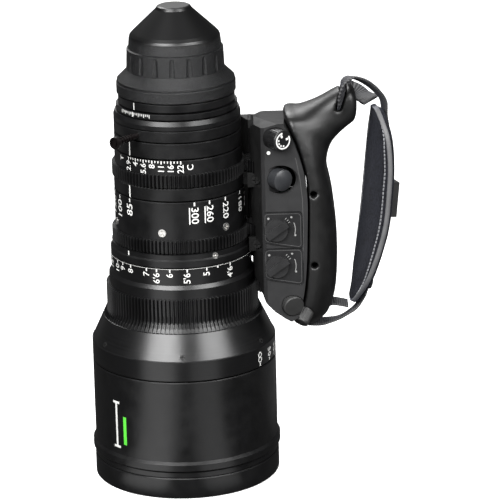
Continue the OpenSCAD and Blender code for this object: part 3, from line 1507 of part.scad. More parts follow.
// Ladder buckle over the webbing
buckle_row = 17;
buckle_len = 22;
buckle_side = 4;
buckle_t = 4.6;
buckle_bars = 3;
module strap_buckle() {
    n = pad_out(buckle_row);
    along = pad_along(buckle_row);
    w = pad_across(buckle_row);
    base = outer_point(buckle_row, web_lift) + n * (web_t / 2 + soft_gap);
    bar = buckle_side;
    color([0.25, 0.25, 0.25])
        multmatrix([[w[0], along[0], n[0], base[0]], [w[1], along[1], n[1], base[1]],
            [w[2], along[2], n[2], base[2]]])
            union() {
                for (side = [-1, 1])
                    translate([side * (web_w / 2 + bar / 2 + soft_gap) - bar / 2, -buckle_len / 2,
                            -web_t - soft_gap])
                        cube([bar, buckle_len, buckle_t + web_t + soft_gap]);
                for (k = [0:buckle_bars - 1])
                    translate([-web_w / 2 - bar, -buckle_len / 2 + k * (buckle_len - bar) / (buckle_bars - 1), 0])
                        cube([web_w + 2 * bar, bar, buckle_t]);
            }
}

front_rim();
front_tube();
front_lens_cell();
front_retainer();
front_element();
second_element();
main_barrel();
focus_ring();
focus_ring_screws();
focus_index_ring();
focus_index_screws();
zoom_ring();
zoom_ring_screws();
zoom_cam_sleeve();
zoom_index_ring();
iris_ring();
iris_index_ring();
macro_ring();
macro_knob();
rear_collar();
flange_focus_ring();
mount_base_ring();
lens_mount();
mount_screws();
rear_element();
rear_element_retainer();
rear_cap();
focus_cell();
focus_glass();
variator_cell();
variator_glass();
compensator_cell();
compensator_glass();
iris_unit();
iris_blades();
relay_cell();
relay_glass();
drive_housing();
drive_cover();
drive_cover_screws();
drive_mount_screws();
drive_motors();
iris_pinion();
zoom_pinion();
focus_pinion();
circuit_board();
mode_dial();
quick_button();
selector_plates();
zoom_selector();
focus_selector();
connector_cap_large();
connector_cap_small();
zoom_rocker();
record_button();
return_button();
grip_shell();
strap_pad();
strap_webbing();
strap_buckle();
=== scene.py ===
"""A cinema zoom lens with a servo drive unit, a grip and a hand strap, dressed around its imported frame.

Lengths are in millimetres in the classes and in metres on the meshes. The optical axis is +Z, the
drive unit lies at +X, and -Y is the side that carries the dial and the selectors.
"""

import json
import logging
import math
from collections.abc import Callable, Sequence
from dataclasses import dataclass, field
from enum import Enum

import bmesh
import bpy
import numpy as np
from mathutils import Matrix, Vector


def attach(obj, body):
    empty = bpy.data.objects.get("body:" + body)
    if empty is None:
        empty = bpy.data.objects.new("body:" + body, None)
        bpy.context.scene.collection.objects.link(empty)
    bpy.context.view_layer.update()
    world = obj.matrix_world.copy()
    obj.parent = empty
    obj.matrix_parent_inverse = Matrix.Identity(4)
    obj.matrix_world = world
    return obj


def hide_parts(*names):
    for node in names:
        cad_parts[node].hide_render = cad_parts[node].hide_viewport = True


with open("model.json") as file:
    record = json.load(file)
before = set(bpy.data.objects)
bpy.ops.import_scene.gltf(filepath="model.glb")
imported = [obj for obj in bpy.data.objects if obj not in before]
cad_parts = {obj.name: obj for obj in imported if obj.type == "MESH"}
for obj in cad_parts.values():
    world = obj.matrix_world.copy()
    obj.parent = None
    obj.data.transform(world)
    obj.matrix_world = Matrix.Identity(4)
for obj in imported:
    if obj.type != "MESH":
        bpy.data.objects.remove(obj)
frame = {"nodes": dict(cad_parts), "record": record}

LOG = logging.getLogger("lens")
MM = 0.001
Colour = tuple[float, float, float]
Wrap = Callable[[float, float, float], Vector]


# Small helpers


def body_of_node(node: str) -> str:
    """Return the name of the body that a CAD node rides on.

    Args:
        node: Name of the CAD node.

    Returns:
        The body's name.
    """
    bodies = (frame["record"].get("behaviour") or {}).get("bodies") or {"root": [node]}
    return next(body for body, nodes in bodies.items() if node in nodes)


def curve_point(a: Vector, b: Vector, c: Vector, d: Vector, t: float) -> Vector:
    """Return the point at t on the smooth curve from b to c.

    Args:
        a: Point before b.
        b: Start of the stretch.
        c: End of the stretch.
        d: Point after c.
        t: Share of the stretch, 0 to 1.

    Returns:
        The point.
    """
    return 0.5 * (2 * b + (c - a) * t + (2 * a - 5 * b + 4 * c - d) * t * t + (3 * b - a - 3 * c + d) * t**3)


def smooth_rows(rows: Sequence[Vector], steps: int) -> list[Vector]:
    """Return rows with steps points to each stretch, on one smooth curve.

    Args:
        rows: Rows of numbers, as vectors of any length.
        steps: Points on each stretch.

    Returns:
        The finer rows.
    """
    last = len(rows) - 1
    fine = []
    for i in range(last):
        ends = (rows[max(i - 1, 0)], rows[i], rows[i + 1], rows[min(i + 2, last)])
        fine += [curve_point(*ends, j / steps) for j in range(steps)]
    return [*fine, rows[last]]


def lengths_along(points: Sequence[Vector]) -> list[float]:
    """Return how far along its line each point lies.

    Args:
        points: Points of the line.

    Returns:
        A length for each point.
    """
    steps = [0.0]
    for a, b in zip(points, points[1:]):
        steps.append(steps[-1] + (b - a).length)
    return steps


def mesh_object(name: str, bm: bmesh.types.BMesh, smooth: bool = True) -> bpy.types.Object:
    """Turn a bmesh into an object in the scene.

    Args:
        name: Name of the piece.
        bm: The mesh, in metres.
        smooth: Whether its faces shade smoothly.

    Returns:
        The object.
    """
    bmesh.ops.recalc_face_normals(bm, faces=bm.faces)
    mesh = bpy.data.meshes.new(name)
    bm.to_mesh(mesh)
    bm.free()
    mesh.polygons.foreach_set("use_smooth", [smooth] * len(mesh.polygons))
    piece = bpy.data.objects.new(name, mesh)
    bpy.context.scene.collection.objects.link(piece)
    return piece


def loft(bm: bmesh.types.BMesh, rings: Sequence[Sequence[Vector]], closed: bool = False) -> None:
    """Add a skin over rings that all have the same number of points.

    Args:
        bm: Mesh that takes the skin.
        rings: Rings of points, in metres.
        closed: Whether the last ring joins the first, instead of both being capped.
    """
    made = [[bm.verts.new(p) for p in ring] for ring in rings]
    count = len(made[0])
    for i in range(len(made) if closed else len(made) - 1):
        here, after = made[i], made[(i + 1) % len(made)]
        for j in range(count):
            k = (j + 1) % count
            bm.faces.new((here[j], here[k], after[k], after[j]))
    if not closed:
        bm.faces.new(list(reversed(made[0])))
        bm.faces.new(made[-1])


# Materials


class Grain(Enum):
    """How a surface is worked."""

    TURNED = "fine rings left by a lathe"
    MOULDED = "fine pebble of a mould"
    BLASTED = "sharp speckle of a blasted surface"
    FLEECE = "short soft fibres"
    RIBBED = "cross ribs of a woven band"


class Graph:
    """The nodes of one material, fed by the place on the object."""

    def __init__(self, name: str) -> None:
        """Start a material.

        Args:
            name: Name of the material.
        """
        self.material = bpy.data.materials.new(name)
        self.material.use_nodes = True
        self.tree = self.material.node_tree
        self.shader = self.tree.nodes["Principled BSDF"]
        self.place = self.add("ShaderNodeTexCoord").outputs["Object"]

    def add(self, kind: str, inputs: dict | None = None, **settings: object) -> bpy.types.Node:
        """Add a node.

        Args:
            kind: Blender's name of the node.
            inputs: Values or sockets for its inputs.
            **settings: Its own settings.

        Returns:
            The node.
        """
        node = self.tree.nodes.new(kind)
        for key, value in settings.items():
            setattr(node, key, value)
        for key, value in (inputs or {}).items():
            if isinstance(value, bpy.types.NodeSocket):
                self.tree.links.new(value, node.inputs[key])
            else:
                node.inputs[key].default_value = value
        return node

    def sum(self, kind: str, a: object, b: object = 0.0) -> bpy.types.NodeSocket:
        """Return the result of a math node of that kind on a and b."""
        return self.add("ShaderNodeMath", {0: a, 1: b}, operation=kind).outputs[0]

    def noise(self, size: float, detail: float = 2.0, place: object = None) -> bpy.types.NodeSocket:
        """Return noise whose grains are about size millimetres wide."""
        inputs = {"Vector": place or self.place, "Scale": 1 / (size * MM), "Detail": detail}
        return self.add("ShaderNodeTexNoise", inputs).outputs[0]

    def rings(self, size: float) -> bpy.types.NodeSocket:
        """Return noise that only changes along the axis and outwards, as a lathe leaves it.

        Args:
            size: Width of the rings in millimetres.

        Returns:
            A value of about 0 to 1.
        """
        flat = self.add("ShaderNodeVectorMath", {0: self.place, 1: (1, 1, 0)}, operation="MULTIPLY")
        radius = self.add("ShaderNodeVectorMath", {0: flat.outputs[0]}, operation="LENGTH").outputs["Value"]
        along = self.sum("ADD", radius, self.height())
        inputs = {"W": along, "Scale": 1 / (size * MM), "Detail": 3.0}
        return self.add("ShaderNodeTexNoise", inputs, noise_dimensions="1D").outputs[0]

    def spread(
        self, value: object, low: float, high: float, start: float = 0.3, end: float = 0.7
    ) -> bpy.types.NodeSocket:
        """Return value, mapped from start and end to low and high."""
        inputs = {"Value": value, "From Min": start, "From Max": end, "To Min": low, "To Max": high}
        return self.add("ShaderNodeMapRange", inputs).outputs[0]

    def blend(self, share: object, dark: object, light: object) -> bpy.types.NodeSocket:
        """Return the colour between dark and light.

        Args:
            share: Where it lies between the two, 0 to 1.
            dark: Colour or socket at 0.
            light: Colour or socket at 1.

        Returns:
            The socket of the colour.
        """
        ends = [end if isinstance(end, bpy.types.NodeSocket) else (*end, 1) for end in (dark, light)]
        return self.add("ShaderNodeMix", {0: share, 6: ends[0], 7: ends[1]}, data_type="RGBA").outputs[2]

    def feed(self, name: str, socket: bpy.types.NodeSocket) -> None:
        """Join a socket to an input of the shader."""
        self.tree.links.new(socket, self.shader.inputs[name])

    def fix(self, values: dict[str, object]) -> None:
        """Set the shader's inputs that are the same all over the surface."""
        for name, value in values.items():
            self.shader.inputs[name].default_value = value

    def colour(self) -> bpy.types.NodeSocket:
        """Return the socket that feeds the shader's colour."""
        return self.shader.inputs["Base Color"].links[0].from_socket

    def height(self) -> bpy.types.NodeSocket:
        """Return the place's Z."""
        return self.add("ShaderNodeSeparateXYZ", {0: self.place}).outputs["Z"]


@dataclass(frozen=True)
class Finish:
    """One surface finish, built into a material the first time that it is asked for."""

    name: str
    colour: Colour
    grain: Grain
    grain_size: float
    grain_depth: float
    roughness: float
    shade: float = 0.25
    patch_size: float = 9.0
    patch: float = 0.15
    roughness_spread: float = 0.06
    metallic: float = 0.0
    specular: float = 0.5
    sheen: float = 0.0
    sheen_roughness: float = 0.4
    sheen_tint: Colour = (0.5, 0.55, 0.8)

    def material(self) -> bpy.types.Material:
        """Return the material of this finish."""
        known = bpy.data.materials.get(f"look_{self.name}")
        return known or self.build().material

    def build(self) -> Graph:
        """Build the nodes: patchy colour, grain, roughness that follows the patches, and bump.

        Returns:
            The graph, so that a finish of its own kind can go on from it.
        """
        graph = Graph(f"look_{self.name}")
        grain = self.pattern(graph)
        patches = graph.noise(self.patch_size, 3.0)
        share = graph.sum("ADD", graph.spread(grain, 0.0, self.shade), graph.spread(patches, 0.0, self.patch))
        light = tuple(min(c * (1 + 2 * self.shade) + 0.004 * self.shade, 1) for c in self.colour)
        dark = tuple(c * (1 - self.shade) for c in self.colour)
        whole = graph.sum("DIVIDE", share, self.shade + self.patch)
        graph.feed("Base Color", graph.blend(whole, dark, light))
        low, high = self.roughness - self.roughness_spread, self.roughness + self.roughness_spread
        graph.feed("Roughness", graph.spread(patches, low, high))
        graph.fix({"Metallic": self.metallic, "Specular IOR Level": self.specular, "Sheen Weight": self.sheen})
        if self.sheen:
            graph.fix({"Sheen Roughness": self.sheen_roughness, "Sheen Tint": (*self.sheen_tint, 1)})
        bump = graph.add("ShaderNodeBump", {"Strength": 0.6, "Distance": self.grain_depth * MM, "Height": grain})
        graph.feed("Normal", bump.outputs[0])
        return graph

    def pattern(self, graph: Graph) -> bpy.types.NodeSocket:
        """Return the socket that carries the grain.

        Args:
            graph: Graph of the material.

        Returns:
            A value of about 0 to 1.
        """
        if self.grain is Grain.TURNED:
            return graph.rings(self.grain_size)
        if self.grain is Grain.MOULDED:
            inputs = {"Vector": graph.place, "Scale": 1 / (self.grain_size * MM)}
            cells = graph.add("ShaderNodeTexVoronoi", inputs)
            half = graph.sum("MULTIPLY", cells.outputs[0], 0.5)
            return graph.sum("ADD", half, graph.noise(self.grain_size * 2, 2.0))
        if self.grain is Grain.FLEECE:
            tufts = graph.noise(self.grain_size * 3, 5.0)
            both = graph.sum("MULTIPLY", graph.sum("ADD", tufts, graph.noise(self.grain_size, 6.0)), 0.5)
            return graph.spread(both, 0.15, 0.85, 0.42, 0.58)
        if self.grain is Grain.RIBBED:
            return graph.noise(self.grain_size, 5.0)
        return graph.noise(self.grain_size, 8.0)


@dataclass(frozen=True)
class SpeckledCap(Finish):
    """Cap plastic: a coarse speckle on the skirt that fades into a smooth crown."""

    skirt_end: float = 273.0
    fade: float = 3.5
    crown_share: float = 0.7
    speck_colour: Colour = (0.010, 0.0104, 0.0115)
    speck_depth: float = 0.12

    def build(self) -> Graph:
        """Build the nodes of the two zones.

        Returns:
            The graph.
        """
        graph = Finish.build(self)
        start = self.skirt_end * MM
        skirt = graph.spread(graph.height(), 1.0, 0.0, start, start + self.fade * MM)
        speck = graph.spread(graph.noise(0.5, 4.0), 0.0, 1.0, 0.48, 0.62)
        share = graph.sum("MULTIPLY", speck, skirt)
        crown = tuple(self.crown_share * c for c in self.colour)
        graph.feed("Base Color", graph.blend(share, crown, self.speck_colour))
        graph.feed("Roughness", graph.spread(skirt, 0.33, 0.40, 0.0, 1.0))
        bump = graph.add("ShaderNodeBump", {"Strength": 0.7, "Distance": self.speck_depth * MM, "Height": share})
        graph.feed("Normal", bump.outputs[0])
        return graph


@dataclass(frozen=True)
class ShadedSide(Finish):
    """Grey moulding with painted shade: its side towards the barrel and its upper end are painted black."""

    painted_shade_below: float = 49.5
    painted_shade_above: float = 221.0
    fade: float = 0.6
    long_fade: float = 9.0
    black: Colour = (0.004, 0.004, 0.004)

    def build(self) -> Graph:
        """Build the nodes and the black zones of painted shade.

        Returns:
            The graph.
        """
        graph = Finish.build(self)
        parts = graph.add("ShaderNodeSeparateXYZ", {0: graph.place}).outputs
        start, end = self.painted_shade_below * MM, self.painted_shade_above * MM
        # Painted shade: black on the side towards the barrel (low X), and darker towards the upper end (high Z).
        near = graph.spread(parts["X"], 0.0, 1.0, start, start + self.fade * MM)
        low = graph.spread(parts["Z"], 1.0, 0.25, end, end + self.long_fade * MM)
        share = graph.sum("MULTIPLY", near, low)
        graph.feed("Base Color", graph.blend(share, self.black, graph.colour()))
        return graph


@dataclass(frozen=True)
class WovenBand(Finish):
    """Webbing whose ribs are painted paler than the grooves between them, as painted highlight on the rib tops and
    painted shade in the grooves.
    """

    rib_highlight_colour: Colour = (0.10, 0.10, 0.104)

    def build(self) -> Graph:
        """Build the nodes and the painted highlight of the ribs.

        Returns:
            The graph.
        """
        graph = Finish.build(self)
        # Painted highlight on the rib tops and painted shade in the grooves, driven by the stored rib height.
        rib = graph.add("ShaderNodeAttribute", attribute_name="rib").outputs["Fac"]
        fuzz = graph.spread(graph.noise(0.4, 4.0), 0.55, 1.0)
        share = graph.sum("MULTIPLY", graph.sum("POWER", rib, 2.0), fuzz)
        graph.feed("Base Color", graph.blend(share, graph.colour(), self.rib_highlight_colour))
        return graph


@dataclass(frozen=True)
class CoatedGlass(Finish):
    """Lens glass with a faint coloured coating."""

    pale: Colour = (0.95, 0.97, 1.0)
    refraction: float = 1.6
    coat: float = 0.3
    coat_tint: Colour = (0.55, 0.75, 0.95)

    def build(self) -> Graph:
        """Build the nodes of clear glass with a slightly uneven coating.

        Returns:
            The graph.
        """
        graph = Graph(f"look_{self.name}")
        patches = graph.noise(self.patch_size, 2.0)
        graph.feed("Base Color", graph.blend(graph.spread(patches, 0.0, 1.0), self.colour, self.pale))
        graph.feed("Roughness", graph.spread(patches, self.roughness, self.roughness + self.roughness_spread))
        graph.fix({"Transmission Weight": 1.0, "IOR": self.refraction})
        graph.fix({"Coat Weight": self.coat, "Coat Tint": (*self.coat_tint, 1)})
        return graph


ANODISED = Finish(
    "black_anodised", (0.0028, 0.0028, 0.003), Grain.TURNED, 0.5, 0.004, 0.30, patch=0.05,
    roughness_spread=0.015, specular=0.55)
TUBE_SATIN = Finish("tube_satin_black", (0.003, 0.003, 0.0032), Grain.BLASTED, 0.25, 0.01, 0.34, specular=0.5)
SCALE_BAND = Finish(
    "scale_band_black", (0.0026, 0.0026, 0.0028), Grain.TURNED, 0.25, 0.008, 0.34, specular=0.5)
GEAR_METAL = Finish("gear_black", (0.0026, 0.0026, 0.0028), Grain.BLASTED, 0.3, 0.01, 0.30, specular=0.55)
INNER_METAL = Finish("inner_matt_black", (0.01, 0.01, 0.01), Grain.TURNED, 0.5, 0.03, 0.7)
BRASS = Finish("sleeve_brass", (0.55, 0.40, 0.18), Grain.TURNED, 0.4, 0.01, 0.3, metallic=1.0)
MOUNT_STEEL = Finish("mount_steel", (0.50, 0.50, 0.49), Grain.TURNED, 0.3, 0.01, 0.24, metallic=1.0)
SCREW_STEEL = Finish("screw_steel", (0.66, 0.65, 0.63), Grain.TURNED, 0.2, 0.01, 0.38, metallic=1.0)
BLACK_SCREW = Finish(
    "black_screw", (0.010, 0.010, 0.010), Grain.TURNED, 0.2, 0.01, 0.5, metallic=0.2, specular=0.35)
KNOB_METAL = Finish("knob_dark_metal", (0.009, 0.007, 0.0072), Grain.TURNED, 0.25, 0.015, 0.3, metallic=0.6)
GLASS = CoatedGlass("coated_glass", (0.9, 0.94, 1.0), Grain.BLASTED, 5.0, 0.0, 0.0, roughness_spread=0.02)
CAP_PLASTIC = SpeckledCap(
    "cap_plastic", (0.0026, 0.0026, 0.0028), Grain.BLASTED, 0.6, 0.05, 0.4, specular=0.55)
# Housing and cover plastics carry painted shade on the side towards the barrel and on the upper end.
HOUSING_PLASTIC = ShadedSide(
    "housing_plastic", (0.015, 0.015, 0.0155), Grain.MOULDED, 0.45, 0.03, 0.55, shade=0.12, specular=0.3)
COVER_PLASTIC = ShadedSide(
    "cover_plastic_painted_shade", (0.013, 0.013, 0.0135), Grain.MOULDED, 0.45, 0.03, 0.5, shade=0.12)
CONTROL_PLASTIC = Finish("control_plastic", (0.005, 0.005, 0.0053), Grain.BLASTED, 0.35, 0.012, 0.36)
SELECTOR_PLASTIC = Finish("selector_plastic", (0.011, 0.011, 0.0115), Grain.BLASTED, 0.35, 0.012, 0.38)
BUTTON_PLASTIC = Finish("button_plastic", (0.020, 0.021, 0.023), Grain.BLASTED, 0.35, 0.012, 0.34)
PLATE_PLASTIC = Finish("plate_plastic", (0.005, 0.005, 0.0055), Grain.BLASTED, 0.4, 0.02, 0.48, specular=0.4)
CAP_RUBBER = Finish("connector_rubber", (0.015, 0.015, 0.0148), Grain.MOULDED, 0.5, 0.02, 0.5)
RED_PLASTIC = Finish("red_plastic", (0.45, 0.02, 0.015), Grain.BLASTED, 0.35, 0.01, 0.35)
GRIP_RUBBER = Finish(
    "grip_rubber", (0.0045, 0.0045, 0.0045), Grain.MOULDED, 0.6, 0.02, 0.42, specular=0.45, shade=0.18)
BOARD = Finish("board_green", (0.02, 0.11, 0.04), Grain.BLASTED, 0.8, 0.01, 0.4)
FLEECE = Finish(
    "pad_fleece", (0.0042, 0.0045, 0.0066), Grain.FLEECE, 0.5, 0.5, 0.95, shade=0.75, patch=0.35,
    specular=0.25, sheen=0.03)
BINDING = Finish("binding_tape", (0.085, 0.085, 0.087), Grain.RIBBED, 0.35, 0.08, 0.6, sheen=0.2)
THREAD = Finish("stitch_thread", (0.30, 0.305, 0.32), Grain.RIBBED, 0.15, 0.03, 0.6)
WEBBING = WovenBand(
    "webbing_weave", (0.004, 0.004, 0.0042), Grain.RIBBED, 0.3, 0.12, 0.62, shade=0.6, sheen=0.05)
BUCKLE_PLASTIC = Finish("buckle_plastic", (0.022, 0.022, 0.022), Grain.MOULDED, 0.4, 0.02, 0.42)
WHITE_MARK = Finish("white_marking", (0.70, 0.70, 0.68), Grain.BLASTED, 0.3, 0.005, 0.5, shade=0.06)
BORDER_MARK = Finish("border_marking", (0.055, 0.055, 0.055), Grain.BLASTED, 0.3, 0.005, 0.5, shade=0.06)
PLATE_MARK = Finish("plate_marking", (0.24, 0.24, 0.235), Grain.BLASTED, 0.3, 0.005, 0.5, shade=0.06)
GREEN_MARK = Finish("green_marking", (0.10, 0.62, 0.05), Grain.BLASTED, 0.3, 0.005, 0.45, shade=0.08)


def dress(finishes: dict[Finish, Sequence[str]]) -> None:
    """Give CAD nodes their finishes.

    Args:
        finishes: Node names for each finish.
    """
    for finish, nodes in finishes.items():
        for node in nodes:
            piece = frame["nodes"][node]
            piece.data.materials.clear()
            piece.data.materials.append(finish.material())
            LOG.info("%s: %s", node, finish.name)


# Markings


class Turn(Enum):
    """Which way a number is turned on a ring."""

    UPWARD = 90
    DOWNWARD = -90


def on_cylinder(radius: float) -> Wrap:
    """Return the map from arc length, height and lift to a point on a ring.

    Args:
        radius: Radius of the ring in millimetres.

    Returns:
        The map, into metres.
    """

    def place(u: float, v: float, lift: float) -> Vector:
        """Return the point at an arc length, a height and a lift."""
        angle, out = u / radius, radius + lift
        return Vector((out * math.sin(angle), -out * math.cos(angle), v)) * MM

    return place


def on_plane(origin: Sequence[float], right: Sequence[float], up: Sequence[float]) -> Wrap:
    """Return the map from two lengths and a lift to a point on a flat face.

    Args:
        origin: Point of the face, in millimetres.
        right: Direction of the first length.
        up: Direction of the second.

    Returns:
        The map, into metres.
    """
    start, across, along = Vector(origin), Vector(right).normalized(), Vector(up).normalized()
    out = across.cross(along)
    return lambda u, v, lift: (start + across * u + along * v + out * lift) * MM


@dataclass
class Markings:
    """Thin painted markings on one surface, gathered into one piece."""

    wrap: Wrap
    radius: float = 1.0
    lift: float = 0.05
    thickness: float = 0.05
    step: float = 0.8
    bm: bmesh.types.BMesh = field(default_factory=bmesh.new)

    def arc(self, azimuth: float) -> float:
        """Return the length round the ring to an azimuth in degrees."""
        return math.radians(azimuth) * self.radius

    def block(self, corners: Sequence[tuple[float, float]]) -> None:
        """Add one thin tile with these corners, anticlockwise.

        Args:
            corners: Pairs of lengths on the surface.
        """
        low = [self.bm.verts.new(self.wrap(u, v, self.lift)) for u, v in corners]
        high = [self.bm.verts.new(self.wrap(u, v, self.lift + self.thickness)) for u, v in corners]
        self.bm.faces.new(high)
        self.bm.faces.new(list(reversed(low)))
        for i in range(len(low)):
            j = (i + 1) % len(low)
            self.bm.faces.new((low[i], low[j], high[j], high[i]))

    def bar(self, u: float, v: float, width: float, height: float, narrow: float = 1.0) -> None:
        """Add an upright or level bar.

        Args:
            u: Middle along the ring.
            v: Lower end.
            width: Width along the ring.
            height: Height.
            narrow: Width at the upper end as a share of the width.
        """
        pieces = max(1, math.ceil(width / self.step))
        for k in range(pieces):
            a, b = (k / pieces - 0.5) * width, ((k + 1) / pieces - 0.5) * width
            self.block([(u + a, v), (u + b, v), (u + b * narrow, v + height), (u + a * narrow, v + height)])

    def disc(self, u: float, v: float, radius: float, sides: int = 20) -> None:
        """Add a round dot."""
        turn = math.tau / sides
        self.block([(u + radius * math.cos(k * turn), v + radius * math.sin(k * turn)) for k in range(sides)])

    def sweep(self, u: float, v: float, radius: float, start: float, end: float, width: float) -> None:
        """Add an arc of a flat ring round u and v, from start to end in degrees.

        Args:
            u: Middle along the surface.
            v: Middle up the surface.
            radius: Radius of the line's middle.
            start: First angle.
            end: Last angle.
            width: Width of the line.
        """
        count = max(2, round(abs(end - start) / 7))
        for k in range(count):
            a = math.radians(start + (end - start) * k / count)
            b = math.radians(start + (end - start) * (k + 1) / count)
            inner, outer = radius - width / 2, radius + width / 2
            corners = ((inner, a), (outer, a), (outer, b), (inner, b))
            self.block([(u + r * math.cos(t), v + r * math.sin(t)) for r, t in corners])

    def path(self, points: Sequence[tuple[float, float]], width: float, closed: bool = False) -> None:
        """Add a thin line through points.

        Args:
            points: Pairs of lengths on the surface.
            width: Width of the line.
            closed: Whether the last point joins the first.
        """
        count = len(points)
        for k in range(count if closed else count - 1):
            a, b = Vector(points[k]), Vector(points[(k + 1) % count])
            side = Vector((-(b - a).y, (b - a).x)).normalized() * width / 2
            self.block([tuple(a - side), tuple(b - side), tuple(b + side), tuple(a + side)])

    def text(
        self, words: str, u: float, v: float, size: float, turn: Turn, align: str = "RIGHT", wide: float = 1.0
    ) -> None:
        """Add a number or a plain letter.

        Args:
            words: What it says.
            u: Middle of the glyphs across their reading direction.
            v: Where the text ends or starts, by align.
            size: Height of the digits.
            turn: Which way it is turned.
            align: RIGHT to end at v, LEFT to start there, CENTER for the middle.
            wide: Width of the digits as a share of the plain width.
        """
        curve = bpy.data.curves.new("number", "FONT")
        curve.body, curve.align_x, curve.align_y = words, align, "CENTER"
        curve.size, curve.resolution_u, curve.offset = size / 0.70, 3, 0.012 * size
        holder = bpy.data.objects.new("number", curve)
        flat = holder.to_mesh()
        turned = Matrix.Rotation(math.radians(turn.value), 4, "Z")
        spot = Matrix.Translation((u, v, 0)) @ turned @ Matrix.Diagonal((wide, 1, 1, 1))
        glyphs = bmesh.new()
        glyphs.from_mesh(flat)
        glyphs.transform(spot)
        bmesh.ops.remove_doubles(glyphs, verts=glyphs.verts, dist=0.0005)
        grown = bmesh.ops.extrude_face_region(glyphs, geom=glyphs.faces[:])
        for vert in (g for g in grown["geom"] if isinstance(g, bmesh.types.BMVert)):
            vert.co.z += self.thickness
        for vert in glyphs.verts:
            vert.co = self.wrap(vert.co.x, vert.co.y, self.lift + vert.co.z)
        made = bpy.data.meshes.new("number")
        glyphs.to_mesh(made)
        self.bm.from_mesh(made)
        glyphs.free()
        holder.to_mesh_clear()
        bpy.data.objects.remove(holder)
        bpy.data.curves.remove(curve)
        bpy.data.meshes.remove(made)

    def place(self, name: str, node: str, finish: Finish) -> None:
        """Turn the markings into one piece that rides with a node.

        Args:
            name: Name of the piece.
            node: CAD node that it is painted on.
            finish: Its finish.
        """
        piece = mesh_object(name, self.bm, smooth=False)
        piece.data.materials.append(finish.material())
        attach(piece, body_of_node(node))
        LOG.info("%s: %d faces on %s", name, len(piece.data.polygons), node)


def ring_marks(radius: float) -> Markings:
    """Return empty markings for a ring of that radius."""
    return Markings(on_cylinder(radius), radius)


# The lens


@dataclass
class FrontGroup:
    """Front rim, tube, retainer, cell and the two front glasses."""

    tube_radius: float = 56.4
    mark_azimuth: float = -47.5
    mark_bottom: float = 27.5
    mark_length: float = 30.0
    mark_line: float = 1.5
    mark_width: float = 5.6
    green_azimuth: float = -40.5
    green_bottom: float = 30.5
    green_length: float = 18.0
    green_width: float = 2.4

    def build(self) -> None:
        """Dress the nodes and paint the plain range mark."""
        dress({
            TUBE_SATIN: ["front_rim", "front_tube"],
            ANODISED: ["front_retainer"],
            INNER_METAL: ["front_lens_cell"],
            GLASS: ["front_element", "second_element"],
        })
        self.range_mark()

    def range_mark(self) -> None:
        """Paint a white bar between two end bars, and a short green bar beside it."""
        white = ring_marks(self.tube_radius)
        middle = white.arc(self.mark_azimuth)
        white.bar(middle, self.mark_bottom, self.mark_line, self.mark_length)
        for v in (self.mark_bottom, self.mark_bottom + self.mark_length - self.mark_line):
            white.bar(middle, v, self.mark_width, self.mark_line)
        white.place("front_tube_white_mark", "front_tube", WHITE_MARK)
        green = ring_marks(self.tube_radius)
        green.bar(green.arc(self.green_azimuth), self.green_bottom, self.green_width, self.green_length)
        green.place("front_tube_green_mark", "front_tube", GREEN_MARK)


